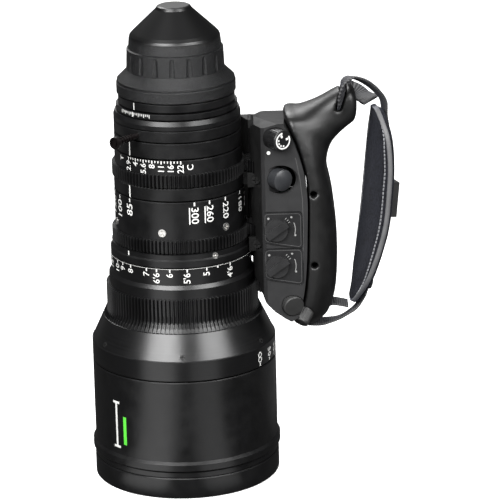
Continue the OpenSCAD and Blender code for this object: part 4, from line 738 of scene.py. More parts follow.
@dataclass
class FocusGroup:
    """Focus ring, the index ring behind it and the focus cell."""

    scale_radius: float = 42.9
    scale_top: float = 141.7
    tick: float = 2.0
    digit: float = 4.0
    far_end: float = -124.0
    half_tick: float = 31.5
    edge_line: float = 0.16
    skirt_radius: float = 56.3
    skirt_bottom: float = 75.6
    skirt_far_end: float = 55.6
    skirt_tick: float = 1.8
    skirt_text: float = 2.4
    skirt_digit: float = 4.2
    distances: tuple[tuple[str, float], ...] = (
        ("4", 79.0), ("4'6", 44.0), ("5", 21.6), ("5'6", 5.5), ("6", -8.5), ("6'6", -19.5), ("7", -28.4),
        ("8", -44.5), ("9", -54.5), ("10", -63.0), ("12", -76.0), ("15", -87.0), ("20", -96.0),
        ("30", -106.0),
        ("50", -114.0))
    skirt_distances: tuple[tuple[str, float], ...] = (
        ("50", 68.0), ("30", 78.0), ("20", 89.0), ("15", 101.0), ("12", 113.0), ("10", 124.0), ("9", 133.0),
        ("8", 143.0), ("7", 157.0), ("6", 178.0), ("5", 210.0), ("4", 258.0))

    def build(self) -> None:
        """Dress the nodes and paint both distance scales."""
        dress({
            ANODISED: ["focus_ring"],
            BLACK_SCREW: ["focus_ring_screws"],
            SCALE_BAND: ["focus_index_ring"],
            SCREW_STEEL: ["focus_index_screws"],
            INNER_METAL: ["focus_cell"],
            GLASS: ["focus_glass"],
        })
        self.main_scale()
        self.skirt_scale()

    def main_scale(self) -> None:
        """Paint the scale that faces the index line."""
        marks = ring_marks(self.scale_radius)
        for words, azimuth in self.distances:
            u = marks.arc(azimuth)
            marks.bar(u, self.scale_top - self.tick, 0.8, self.tick)
            marks.text(words, u, self.scale_top - self.tick - 0.5, self.digit, Turn.UPWARD)
        marks.bar(marks.arc(self.half_tick), self.scale_top - 1.4, 0.9, 1.4)
        u = marks.arc(self.far_end)
        marks.bar(u, self.scale_top - self.tick, 0.8, self.tick)
        self.infinity(marks, u, self.scale_top - self.tick - 0.5, -1.15, 0.6)
        for start in range(round(self.far_end), 84, 4):
            marks.bar(marks.arc(start + 2), self.scale_top - self.edge_line, marks.arc(4.05), self.edge_line)
        marks.place("focus_scale_marks", "focus_ring", WHITE_MARK)

    def infinity(self, marks: Markings, u: float, v: float, radius: float, width: float) -> None:
        """Paint the far end of a scale as two touching rings.

        Args:
            marks: Markings of the ring.
            u: Middle along the ring.
            v: Where the first ring starts.
            radius: Radius of each ring, below zero to go down from v.
            width: Width of the line.
        """
        for k in (1, 3):
            marks.sweep(u, v + k * radius, abs(radius), 0, 360, width)

    def skirt_scale(self) -> None:
        """Paint the second scale, which reads downwards on the skirt."""
        marks = ring_marks(self.skirt_radius)
        for words, azimuth in self.skirt_distances:
            u = marks.arc(azimuth)
            marks.bar(u, self.skirt_bottom, 0.9, self.skirt_tick)
            marks.text(words, u, self.skirt_bottom + self.skirt_text, self.skirt_digit, Turn.DOWNWARD)
        u = marks.arc(self.skirt_far_end)
        marks.bar(u, self.skirt_bottom, 0.9, self.skirt_tick)
        self.infinity(marks, u, self.skirt_bottom + self.skirt_text, 1.5, 0.7)
        marks.place("focus_skirt_marks", "focus_ring", WHITE_MARK)


@dataclass
class ZoomGroup:
    """Zoom ring, the index ring behind it and the parts that it moves."""

    scale_radius: float = 39.5
    scale_top: float = 181.9
    tick: float = 2.2
    lengths: tuple[tuple[str, float], ...] = (
        ("85", 0.0), ("100", 16.0), ("120", 31.0), ("150", 47.0), ("180", 64.0), ("220", 87.0),
        ("260", 104.0),
        ("300", 118.0))
    underlined: tuple[str, ...] = ("260", "300")
    first_index: float = -48.0
    second_index: float = 132.0

    def build(self) -> None:
        """Dress the nodes and paint both focal length scales."""
        dress({
            SCALE_BAND: ["zoom_ring", "zoom_index_ring"],
            SCREW_STEEL: ["zoom_ring_screws"],
            BRASS: ["zoom_cam_sleeve"],
            INNER_METAL: ["variator_cell", "compensator_cell"],
            GLASS: ["variator_glass", "compensator_glass"],
        })
        marks = ring_marks(self.scale_radius)
        for words, share in self.lengths:
            self.number(marks, words, self.first_index - share, Turn.UPWARD, 4.9, False)
            self.number(marks, words, self.second_index - share, Turn.DOWNWARD, 4.4, words in self.underlined)
        marks.place("zoom_scale_marks", "zoom_ring", WHITE_MARK)

    def number(self, marks: Markings, words: str, azimuth: float, turn: Turn, size: float, line: bool) -> None:
        """Paint one focal length with its tick.

        Args:
            marks: Markings of the ring.
            words: The number.
            azimuth: Where it stands, in degrees.
            turn: Which way it reads.
            size: Height of its digits.
            line: Whether it is underlined.
        """
        u = marks.arc(azimuth)
        marks.bar(u, self.scale_top - self.tick, 0.9, self.tick)
        top = self.scale_top - self.tick - 0.7
        marks.text(words, u, top, size, turn, "RIGHT" if turn is Turn.UPWARD else "LEFT", wide=1.12)
        if line:
            marks.bar(u - size * 0.5 - 0.9, top - 10.6, 0.7, 10.4)


@dataclass
class IrisGroup:
    """Iris ring, its index ring and the iris unit."""

    scale_radius: float = 38.6
    scale_top: float = 207.7
    first: float = -49.0
    step: float = 8.7
    stops: tuple[str, ...] = ("2.9", "4", "5.6", "8", "11", "16", "22")
    digit: float = 3.7

    def build(self) -> None:
        """Dress the nodes and paint the iris scale."""
        dress({
            SCALE_BAND: ["iris_ring", "iris_index_ring"],
            INNER_METAL: ["iris_unit", "relay_cell"],
            BLACK_SCREW: ["iris_blades"],
            GLASS: ["relay_glass"],
        })
        marks = ring_marks(self.scale_radius)
        for k, words in enumerate(self.stops):
            u = marks.arc(self.first + k * self.step)
            marks.bar(u, self.scale_top - 1.9, 0.7, 1.9)
            marks.text(words, u, self.scale_top - 2.2, self.digit, Turn.UPWARD)
            if k < len(self.stops) - 1:
                for third in (1, 2):
                    u = marks.arc(self.first + (k + third / 3) * self.step)
                    marks.bar(u, self.scale_top - 1.3, 0.6, 1.3)
        end = marks.arc(self.first + len(self.stops) * self.step)
        marks.text("C", end, self.scale_top - 2.2, self.digit, Turn.UPWARD)
        start = marks.arc(self.first - 1.15 * self.step)
        marks.text("T", start, self.scale_top - 0.6, self.digit * 0.9, Turn.UPWARD)
        marks.place("iris_scale_marks", "iris_ring", WHITE_MARK)


@dataclass
class IndexLines:
    """The fixed white index lines behind the three rings."""

    azimuths: tuple[float, ...] = (-48.0, 132.0)
    iris: tuple[float, float, float] = (38.4, 208.7, 8.6)
    zoom: tuple[float, float, float] = (39.4, 183.0, 7.3)
    focus: tuple[float, float, float] = (42.0, 142.8, 7.0)

    def build(self) -> None:
        """Paint the lines, each on its own ring."""
        for name, node, (radius, bottom, length) in (
            ("iris_index_marks", "iris_index_ring", self.iris),
            ("zoom_index_marks", "zoom_index_ring", self.zoom),
            ("focus_index_marks", "focus_index_ring", self.focus),
        ):
            marks = Markings(on_cylinder(radius + 0.5), radius, lift=-0.42)
            for azimuth in self.azimuths:
                u = marks.arc(azimuth)
                narrow = 0.45 if node == "iris_index_ring" else 1.0
                marks.bar(u, bottom, 1.0, length, narrow)
            marks.place(name, node, WHITE_MARK)


@dataclass
class RearGroup:
    """Macro ring, collar, flange focus ring, mount and the rear glass."""

    flange_radius: float = 36.6
    flange_top: float = 235.2
    tick_first: float = -61.5
    tick_step: float = 2.0
    tick_count: int = 19
    base_radius: float = 35.2
    index_azimuth: float = -45.0
    index_width: float = 0.6

    def build(self) -> None:
        """Dress the nodes and paint the fine scale of the flange focus ring."""
        dress({
            SCALE_BAND: ["macro_ring", "rear_collar", "flange_focus_ring", "mount_base_ring", "main_barrel"],
            KNOB_METAL: ["macro_knob"],
            MOUNT_STEEL: ["lens_mount"],
            SCREW_STEEL: ["mount_screws"],
            GLASS: ["rear_element"],
            INNER_METAL: ["rear_element_retainer"],
            CAP_PLASTIC: ["rear_cap"],
        })
        marks = ring_marks(self.flange_radius)
        for k in range(self.tick_count):
            u = marks.arc(self.tick_first + k * self.tick_step)
            length = 2.2 if k % 3 == 0 else 1.4
            marks.bar(u, self.flange_top - length, 0.4, length)
        marks.bar(marks.arc(self.index_azimuth), 232.5, self.index_width, 2.9)
        marks.place("flange_focus_marks", "flange_focus_ring", WHITE_MARK)
        index = ring_marks(self.base_radius)
        index.bar(index.arc(self.index_azimuth), 236.4, self.index_width, 4.2)
        index.place("flange_index_mark", "mount_base_ring", WHITE_MARK)


# The drive unit


@dataclass
class DriveUnit:
    """Housing, cover, controls, motors and pinions of the servo drive."""

    face_y: float = -28.0
    dial_place: tuple[float, float, float] = (58.745, -28.0, 217.53)
    control_turn: float = 34.0
    dot_place: tuple[float, float] = (54.5, 208.5)
    dot_radius: float = 1.15
    plate_centres: tuple[tuple[float, float], ...] = ((62.1, 160.7), (62.1, 137.8))
    plate_width: float = 23.2
    plate_height: float = 21.4
    plate_cut: float = 5.5
    plate_lift: float = 0.7
    knob_shift: float = -3.94
    ray_ends: tuple[float, float] = (8.3, 9.6)
    seam_places: tuple[tuple[float, float], ...] = (
        (70.3, 205.2), (70.8, 203.7), (73.0, 191.3),
        (74.2, 178.7), (74.4, 159.9), (73.8, 141.0), (72.0, 125.2))
    seam_width: float = 0.35

    def build(self) -> None:
        """Dress the nodes and add the markings of the controls."""
        dress({
            HOUSING_PLASTIC: ["drive_housing"],
            COVER_PLASTIC: ["drive_cover"],
            BLACK_SCREW: ["drive_cover_screws", "drive_mount_screws"],
            MOUNT_STEEL: ["drive_motors"],
            GEAR_METAL: ["iris_pinion", "zoom_pinion", "focus_pinion"],
            BOARD: ["circuit_board"],
            CONTROL_PLASTIC: ["mode_dial", "zoom_rocker", "return_button"],
            SELECTOR_PLASTIC: ["zoom_selector", "focus_selector"],
            BUTTON_PLASTIC: ["quick_button"],
            PLATE_PLASTIC: ["selector_plates"],
            CAP_RUBBER: ["connector_cap_large", "connector_cap_small"],
            RED_PLASTIC: ["record_button"],
        })
        self.dial_marks()
        self.panel_marks()
        self.plate_marks()

    def top_along(self, node: str, axis: Vector) -> float:
        """Return how far a node reaches along an axis, in millimetres."""
        return max((v.co @ axis) / MM for v in frame["nodes"][node].data.vertices)

    def dial_marks(self) -> None:
        """Paint the open ring and the plain positions on the dial's face."""
        turn = math.radians(self.control_turn)
        axis = Vector((math.sin(turn), -math.cos(turn), 0))
        centre = Vector(self.dial_place)
        face = centre + axis * (self.top_along("mode_dial", axis) - centre @ axis)
        marks = Markings(on_plane(face, (math.cos(turn), math.sin(turn), 0), (0, 0, 1)))
        marks.sweep(0, 0, 4.7, 95, 390, 0.9)
        for angle in (110, 15):
            t = math.radians(angle)
            marks.path([(3.9 * math.cos(t), 3.9 * math.sin(t)), (2.1 * math.cos(t), 2.1 * math.sin(t))], 1.3)
        for angle in (170, 205, 240, 275):
            t = math.radians(angle)
            marks.disc(3.2 * math.cos(t), 3.2 * math.sin(t), 0.55)
        marks.place("mode_dial_marks", "mode_dial", WHITE_MARK)

    def panel_marks(self) -> None:
        """Paint the index dot beside the dial and the seam between the panel and the grip."""
        panel = on_plane((0, self.face_y, 0), (1, 0, 0), (0, 0, 1))
        marks = Markings(panel)
        marks.disc(*self.dot_place, self.dot_radius)
        marks.place("panel_marks", "drive_housing", WHITE_MARK)
        seam = Markings(panel, lift=0.01, thickness=0.06)
        seam.path(self.seam_places, self.seam_width)
        seam.place("panel_seam", "drive_housing", BORDER_MARK)

    def outline(self, inset: float) -> list[tuple[float, float]]:
        """Return the outline of a selector plate, drawn in by inset, with rounded corners.

        Args:
            inset: How far the line lies inside the plate's edge.

        Returns:
            Points of the outline.
        """
        w, h, cut = self.plate_width / 2 - inset, self.plate_height / 2 - inset, self.plate_cut
        corners = [(-w, -h + cut / 2), (-w + cut, -h + cut / 4), (w, -h - cut / 4), (w, h), (-w, h)]
        points = []
        for k, corner in enumerate(corners):
            here = Vector(corner)
            before, after = Vector(corners[k - 1]) - here, Vector(corners[(k + 1) % len(corners)]) - here
            a, b = here + before.normalized() * 2.2, here + after.normalized() * 2.2
            for t in (0, 0.25, 0.5, 0.75, 1):
                points.append(tuple((1 - t) ** 2 * a + 2 * t * (1 - t) * here + t * t * b))
        return points

    def plate_marks(self) -> None:
        """Paint the border line, the arc and the dots of both selector plates."""
        for k, (x, z) in enumerate(self.plate_centres):
            wrap = on_plane((x, self.face_y - self.plate_lift, z), (1, 0, 0), (0, 0, 1))
            border = Markings(wrap, lift=0.02, thickness=0.12)
            border.path(self.outline(0.9), 0.28, closed=True)
            border.place(f"plate_border_{k + 1}", "selector_plates", BORDER_MARK)
            pale = Markings(wrap)
            pale.sweep(self.knob_shift, 0, 11.4, -18, 22, 0.4)
            for angle in (-18, 40):
                t = math.radians(angle)
                pale.disc(self.knob_shift + 11.9 * math.cos(t), 11.9 * math.sin(t), 0.62)
            for angle in (30, 40, 50):
                t = math.radians(angle)
                ray = [(self.knob_shift + r * math.cos(t), r * math.sin(t)) for r in self.ray_ends]
                pale.path(ray, 0.32)
            pale.disc(-8.6, 7.0, 0.7)
            pale.place(f"plate_marks_{k + 1}", "selector_plates", PLATE_MARK)


# Grip and strap


@dataclass
class Grip:
    """The moulded grip."""

    cell: float = 0.9
    rounds: int = 7

    def build(self) -> None:
        """Dress the grip and round off the flats between its sections."""
        dress({GRIP_RUBBER: ["grip_shell"]})
        grip = frame["nodes"]["grip_shell"]
        even = grip.modifiers.new("even_cells", "REMESH")
        even.mode, even.voxel_size, even.use_smooth_shade = "VOXEL", self.cell * MM, True
        soften = grip.modifiers.new("soften", "SMOOTH")
        soften.factor, soften.iterations = 0.5, self.rounds


@dataclass
class HandStrap:
    """Padded hand strap: fleece pad, binding, stitching, webbing and buckle."""

    origin: tuple[float, float] = (43.6, 93.8)
    reach: float = 65.0
    length: float = 148.0
    depth: float = 28.0
    pad_thickness: float = 5.0
    pad_crown: float = 1.6
    channel_depth: float = 0.9
    channel_share: float = 0.72
    pad_inset: float = 0.25
    pad_cell: float = 1.5
    pad_swell: float = 0.55
    cloth_frames: int = 20
    web_width: float = 14.0
    web_thickness: float = 1.6
    web_lift: float = 0.8
    rib_pitch: float = 1.4
    rib_height: float = 0.2
    rib_steps: int = 5
    coarse_steps: int = 4
    binding_lift: tuple[float, float] = (0.9, 2.9)
    binding_half: tuple[float, float] = (1.05, 1.5)
    stitch_lines: tuple[float, ...] = (-0.73, -0.705, 0.73, 0.705)
    stitch_length: float = 2.0
    stitch_gap: float = 0.4
    keeper_rows: tuple[int, ...] = (14, 26, 29)
    pad_rows: tuple[tuple[float, ...], ...] = (
        (1.166, 0.914, 1.108, 0.896, 0.32), (1.204, 0.882, 1.110, 0.856, 0.68),
        (1.256, 0.812, 1.088, 0.774, 0.91),
        (1.274, 0.697, 1.062, 0.664, 0.96), (1.257, 0.572, 1.034, 0.542, 0.96),
        (1.224, 0.447, 1.003, 0.417, 0.95),
        (1.150, 0.322, 0.965, 0.299, 0.89), (1.055, 0.206, 0.928, 0.184, 0.75),
        (0.962, 0.125, 0.897, 0.106, 0.46),
        (0.912, 0.090, 0.883, 0.082, 0.25))
    neck_loop: tuple[tuple[float, ...], ...] = (
        (1.238, 0.938, -0.04, -0.2, 1, -0.2), (1.160, 0.990, -0.16, -0.2, 1, -0.28),
        (1.055, 1.032, -0.30, -0.2, 1, -0.3),
        (0.950, 1.054, -0.45, -0.15, 1, -0.2), (0.886, 1.043, -0.56, -0.05, 0.95, 0),
        (0.860, 1.012, -0.61, 0.25, 0.95, 0.25),
        (0.853, 0.978, -0.57, 0.3, 0.5, 0.85), (0.852, 0.962, -0.40, 0.3, 0, 1), (0.852, 0.962, 0, 0.3, 0, 1),
        (0.852, 0.962, 0.42, 0.3, 0, 1), (0.895, 0.948, 0.64, 0.3, 0.1, 1),
        (0.968, 0.934, 0.80, 0.1, 0.6, 0.7),
        (1.050, 0.926, 0.66, -0.1, 1, 0.1), (1.105, 0.926, 0.40, -0.15, 1, 0),
        (1.148, 0.930, 0.20, -0.2, 1, 0))
    foot_loop: tuple[tuple[float, ...], ...] = (
        (0.886, 0.066, 0, 0, 1, 0), (0.822, 0.073, 0, 0, 1, 0), (0.750, 0.078, 0, 0, 1, 0),
        (0.700, 0.072, 0, 0, 1, 0),
        (0.632, 0.051, 0, 0, 1, 0), (0.560, 0.028, 0, 0, 1, 0), (0.505, 0.009, 0, 0, 1, 0),
        (0.500, -0.005, 0, 0, 1, 0),
        (0.560, -0.010, 0, 0, 1, 0), (0.640, -0.009, 0, 0, 1, 0), (0.720, -0.004, 0, 0, 1, -0.1),
        (0.810, 0.007, 0, 0, 1, -0.2), (0.900, 0.030, 0, 0, 1, -0.2), (0.975, 0.058, 0, 0, 1, -0.1))

    def __post_init__(self) -> None:
        """Work out the rows of the pad."""
        self.rows = smooth_rows([Vector(row) for row in self.pad_rows], self.coarse_steps)
        self.body = body_of_node("strap_pad")
        self.fleece: bpy.types.Object | None = None

    def at(self, x: float, y: float, z: float) -> Vector:
        """Return the point at shares of the drive unit's reach, half depth and length."""
        return Vector((self.origin[0] + x * self.reach, y * self.depth, self.origin[1] + z * self.length))

    def near(self, i: int) -> Vector:
        """Return the dial side edge of row i."""
        row = self.rows[i]
        return self.at(row[0], -row[4], row[1])

    def far(self, i: int) -> Vector:
        """Return the far edge of row i."""
        row = self.rows[i]
        return self.at(row[2], row[4], row[3])

    def middle(self, i: int) -> Vector:
        """Return the middle of row i."""
        return (self.near(i) + self.far(i)) / 2

    def along(self, i: int) -> Vector:
        """Return the pad's direction at row i."""
        last = len(self.rows) - 1
        return (self.middle(min(i + 1, last)) - self.middle(max(i - 1, 0))).normalized()

    def across(self, i: int) -> Vector:
        """Return the direction across the pad at row i."""
        return (self.far(i) - self.near(i)).normalized()

    def out(self, i: int) -> Vector:
        """Return the direction away from the hand at row i."""
        return self.along(i).cross(self.across(i)).normalized()

    def half(self, i: int) -> float:
        """Return half the pad's width at row i."""
        return (self.far(i) - self.near(i)).length / 2

    def inner_face(self, i: int, u: float, lift: float) -> Vector:
        """Return a point on the pad's inner face.

        Args:
            i: Row.
            u: Share of the half width, -1 on the dial side.
            lift: How far towards the hand the point stands off the face.

        Returns:
            The point, in millimetres.
        """
        ends = min(i, len(self.rows) - 1 - i)
        e = min(1.0, ends / 3 + 0.35)
        thick = self.pad_thickness * math.sqrt(max(1 - abs(u) ** 6, 0.04))
        channel = self.channel_depth * math.exp(-(((abs(u) - self.channel_share) / 0.09) ** 2))
        swell = self.pad_crown * (1 - u * u) - channel
        inward = self.pad_thickness / 2 - e * (thick / 2 + swell) - lift
        return self.middle(i) + self.across(i) * u * self.half(i) + self.out(i) * inward

    def back(self, i: int) -> Vector:
        """Return where the middle of the webbing runs at row i."""
        return self.middle(i) + self.out(i) * (self.pad_thickness + self.web_thickness / 2 + self.web_lift)

    def build(self) -> None:
        """Make every piece of the strap."""
        dress({BUCKLE_PLASTIC: ["strap_buckle"]})
        self.pad()
        self.binding()
        self.stitching()
        self.webbing()

    def pad(self) -> None:
        """Make the padded fleece from the solid's own shape, puffed up by a short cloth simulation."""
        source = frame["nodes"]["strap_pad"].data.copy()
        piece = bpy.data.objects.new("strap_pad_fleece", source)
        bpy.context.scene.collection.objects.link(piece)
        bm = bmesh.new()
        bm.from_mesh(source)
        bmesh.ops.remove_doubles(bm, verts=bm.verts, dist=0.01 * MM)
        bm.normal_update()
        for vert in bm.verts:
            vert.co -= vert.normal * self.pad_inset * MM
        bm.to_mesh(source)
        bm.free()
        remesh = piece.modifiers.new("even_faces", "REMESH")
        remesh.mode, remesh.voxel_size = "VOXEL", self.pad_cell * MM
        self.apply(piece)
        rest = np.array([v.co for v in piece.data.vertices])
        self.puff(piece, rest)
        self.sew(piece)
        self.refine(piece)
        piece.data.polygons.foreach_set("use_smooth", [True] * len(piece.data.polygons))
        self.attach(piece, FLEECE)
        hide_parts("strap_pad")
        bpy.context.view_layer.update()
        self.fleece = piece

    def attach(self, piece: bpy.types.Object, finish: Finish) -> None:
        """Give a piece of the strap its finish, body and slot.

        Args:
            piece: The piece.
            finish: Its finish.
        """
        piece.data.materials.clear()
        piece.data.materials.append(finish.material())
        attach(piece, self.body)
        LOG.info("%s: %d faces", piece.name, len(piece.data.polygons))

    def refine(self, piece: bpy.types.Object) -> None:
        """Round off a piece with one step of subdivision.

        Args:
            piece: The piece.
        """
        smooth = piece.modifiers.new("soft", "SUBSURF")
        smooth.levels = smooth.render_levels = 1
        self.apply(piece)

    def apply(self, piece: bpy.types.Object) -> None:
        """Apply every modifier of a piece to its mesh.

        Args:
            piece: The piece.
        """
        bpy.context.view_layer.update()
        graph = bpy.context.evaluated_depsgraph_get()
        made = bpy.data.meshes.new_from_object(piece.evaluated_get(graph), depsgraph=graph)
        piece.modifiers.clear()
        piece.data = made

    def puff(self, piece: bpy.types.Object, rest: np.ndarray) -> None:
        """Let the cloth swell under a little pressure, and cap how far it may move.

        Args:
            piece: The pad.
            rest: Its points before.
        """
        cloth = piece.modifiers.new("fleece", "CLOTH")
        settings = cloth.settings
        settings.use_pressure, settings.uniform_pressure_force = True, 4.0
        settings.effector_weights.gravity = 0.0
        settings.quality, settings.mass = 5, 0.15
        settings.tension_stiffness = settings.compression_stiffness = 12.0
        settings.shear_stiffness, settings.bending_stiffness = 6.0, 0.4
        scene = bpy.context.scene
        cloth.point_cache.frame_start, cloth.point_cache.frame_end = 1, self.cloth_frames
        for number in range(1, self.cloth_frames + 1):
            scene.frame_set(number)
        self.apply(piece)
        scene.frame_set(1)
        points = np.array([v.co for v in piece.data.vertices])
        moved = points - rest
        reach = np.linalg.norm(moved, axis=1, keepdims=True)
        points = rest + moved * np.minimum(1.0, self.pad_swell * MM / np.maximum(reach, 1e-9))
        piece.data.vertices.foreach_set("co", points.ravel())
        LOG.info("pad simulation moved points by up to %.2f mm", float(reach.max() / MM))

    def sew(self, piece: bpy.types.Object) -> None:
        """Press the sewn channel and small puckers into the inner face.

        Args:
            piece: The pad.
        """
        middles = [self.middle(i) for i in range(len(self.rows))]
        for vert in piece.data.vertices:
            point = vert.co / MM
            i = min(range(len(middles)), key=lambda k: (middles[k] - point).length_squared)
            if (point - middles[i]) @ self.out(i) > 0:
                continue
            u = (point - middles[i]) @ self.across(i) / self.half(i)
            run = (point - middles[0]).length
            groove = 0.35 * math.exp(-(((abs(u) - self.channel_share) / 0.035) ** 2))
            pull = groove * (1 + 0.4 * math.sin(run * 2.2))
            vert.co += self.out(i) * pull * MM

    def edge_path(self) -> list[tuple[Vector, Vector, Vector]]:
        """Return point, outward side and thickness direction all round the pad's edge.

        Returns:
            One row of three for each point, in order round the edge.
        """
        rows = range(len(self.rows))
        path = [(self.near(i), -self.across(i), self.out(i)) for i in rows]
        return path + [(self.far(i), self.across(i), self.out(i)) for i in reversed(rows)]

    def binding(self) -> None:
        """Make the tape that binds the pad's edge."""
        bm = bmesh.new()
        rings = []
        for point, side, normal in self.edge_path():
            lift = self.binding_lift[0] if side.y < 0 else self.binding_lift[1]
            centre = point - side * 0.5 + normal * lift
            turns = [math.tau * k / 16 for k in range(16)]
            half_w, half_t = self.binding_half
            rings.append([(centre + side * half_w * math.cos(a) + normal * half_t * math.sin(a)) * MM for a in turns])
        loft(bm, rings, closed=True)
        piece = mesh_object("pad_binding", bm)
        self.refine(piece)
        self.attach(piece, BINDING)

    def stitching(self) -> None:
        """Sew two rows of stitches inside each edge of the pad."""
        bm = bmesh.new()
        last = len(self.rows) - 1
        for u in self.stitch_lines:
            line = [self.on_fleece(i, u) for i in range(3, last - 1)]
            for start, end in self.stitches(line):
                self.stitch(bm, start, end)
        self.attach(mesh_object("pad_stitching", bm), THREAD)

    def on_fleece(self, i: int, u: float) -> Vector:
        """Return the point of the fleece's inner face at row i and share u of the half width.

        Args:
            i: Row of the pad.
            u: Share of the half width, -1 on the dial side.

        Returns:
            The point, in millimetres.
        """
        start, way = self.inner_face(i, u, 6.0), self.out(i)
        hit, spot, _, _ = self.fleece.ray_cast(start * MM, way)
        return spot / MM - way * 0.1 if hit else self.inner_face(i, u, 0.4)

    def stitches(self, line: Sequence[Vector]) -> list[tuple[Vector, Vector]]:
        """Return the ends of the stitches along a line.

        Args:
            line: Points of the line, in millimetres.

        Returns:
            Pairs of points.
        """
        steps = lengths_along(line)
        made, s = [], 0.0
        while s + self.stitch_length < steps[-1]:
            made.append((self.on_line(line, steps, s), self.on_line(line, steps, s + self.stitch_length)))
            s += self.stitch_length + self.stitch_gap
        return made

    def on_line(self, line: Sequence[Vector], steps: Sequence[float], s: float) -> Vector:
        """Return the point at length s along a line."""
        k = max(i for i in range(len(steps) - 1) if steps[i] <= s)
        return line[k].lerp(line[k + 1], (s - steps[k]) / (steps[k + 1] - steps[k]))

    def stitch(self, bm: bmesh.types.BMesh, start: Vector, end: Vector) -> None:
        """Add one stitch as a slim rounded bead.

        Args:
            bm: Mesh that takes it.
            start: Where it comes out.
            end: Where it goes in.
        """
        way = end - start
        side = way.cross(Vector((0, 0, 1))).normalized()
        up = side.cross(way).normalized()
        rings = []
        turns = [k * math.tau / 6 for k in range(6)]
        for t, r in ((0.0, 0.1), (0.2, 0.18), (0.5, 0.21), (0.8, 0.18), (1.0, 0.1)):
            centre = start + way * t
            rings.append([(centre + side * r * math.cos(a) + up * r * math.sin(a)) * MM for a in turns])
        loft(bm, rings)

    def web_rows(self) -> list[Vector]:
        """Return the rows of the webbing: middle point and direction of the width."""
        neck, foot = (
            [Vector((*self.at(x, y, z), *way)) for x, z, y, *way in reversed(loop)]
            for loop in (self.neck_loop, self.foot_loop)
        )
        return neck + [Vector((*self.back(i), *self.across(i))) for i in range(4, 33, 2)] + foot

    def band(self, bm: bmesh.types.BMesh, rows: Sequence[Vector]) -> float:
        """Add a ribbed woven band along rows.

        Args:
            bm: Mesh that takes it.
            rows: Middle points with the direction of the width, in millimetres.

        Returns:
            Its length in millimetres.
        """
        points = [Vector(row[:3]) for row in rows]
        ways = [Vector(row[3:]) for row in rows]
        steps = lengths_along(points)
        count = round(steps[-1] / self.rib_pitch * self.rib_steps)
        spots, sides, k = [], [], 0
        for n in range(count + 1):
            s = steps[-1] * n / count
            while k < len(steps) - 2 and steps[k + 1] < s:
                k += 1
            t = (s - steps[k]) / (steps[k + 1] - steps[k])
            spots.append(points[k].lerp(points[k + 1], t))
            sides.append(ways[k].lerp(ways[k + 1], t))
        rings = []
        for n, (spot, way) in enumerate(zip(spots, sides)):
            course = (spots[min(n + 1, count)] - spots[max(n - 1, 0)]).normalized()
            side = (way - course * (way @ course)).normalized()
            normal = course.cross(side)
            rib = self.rib_height * 0.5 * math.cos(math.tau * n / self.rib_steps)
            half = self.web_thickness / 2 + rib
            rings.append([(spot + side * u * self.web_width / 2 + normal * (v * half)) * MM for u, v in self.section()])
        loft(bm, rings)
        return steps[-1]

    def mark_ribs(self, piece: bpy.types.Object) -> None:
        """Store on each point of a band how far up its rib it lies, 0 to 1.

        Args:
            piece: The band.
        """
        size = len(self.section())
        # The webbing's painted highlight on its rib tops reads this height.
        rib = piece.data.attributes.new("rib", "FLOAT", "POINT")
        count = len(piece.data.vertices)
        waves = [0.5 + 0.5 * math.cos(math.tau * (k // size) / self.rib_steps) for k in range(count)]
        rib.data.foreach_set("value", waves)

    def section(self) -> list[tuple[float, float]]:
        """Return the webbing's section with rounded edges.

        Returns:
            Pairs of shares of the half width and the half thickness, in order round it.
        """
        left = [(-0.94, 0.8), (-0.8, 1.0), (-0.45, 0.92), (-0.4, 1.0)]
        top = [*left, (0.0, 1.0), *[(-u, v) for u, v in reversed(left)]]
        return [*top, (1.0, 0.0), *[(u, -v) for u, v in reversed(top)], (-1.0, 0.0)]

    def webbing(self) -> None:
        """Weave the webbing through both slots, with its keepers."""
        fine = smooth_rows(self.web_rows(), 12)
        bm = bmesh.new()
        length = self.band(bm, fine)
        piece = mesh_object("strap_webbing_band", bm)
        self.mark_ribs(piece)
        self.attach(piece, WEBBING)
        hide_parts("strap_webbing")
        LOG.info("strap_webbing_band: %.0f mm long", length)
        for k, row in enumerate(self.keeper_rows):
            self.keeper(f"strap_keeper_{k + 1}", row)

    def keeper(self, name: str, i: int) -> None:
        """Make a flat elastic loop round the webbing at row i.

        Args:
            name: Name of the piece.
            i: Row of the pad.
        """
        base, course, side, normal = self.back(i), self.along(i), self.across(i), self.out(i)
        half_w, half_t = self.web_width / 2 + 1.0, self.web_thickness / 2 + 0.5
        rings = []
        for a in range(24):
            t = math.tau * a / 24
            c, s = math.cos(t), math.sin(t)
            u = half_w * math.copysign(abs(c) ** 0.35, c)
            v = half_t * math.copysign(abs(s) ** 0.6, s)
            ring = []
            for along, out in ((-3, 0), (-2.6, 0.9), (0, 1.1), (2.6, 0.9), (3, 0), (0, -0.1)):
                grow_u, grow_v = out * c, out * s
                ring.append((base + course * along + side * (u + grow_u) + normal * (v + grow_v)) * MM)
            rings.append(ring)
        bm = bmesh.new()
        loft(bm, rings, closed=True)
        self.attach(mesh_object(name, bm), WEBBING)


# Studio


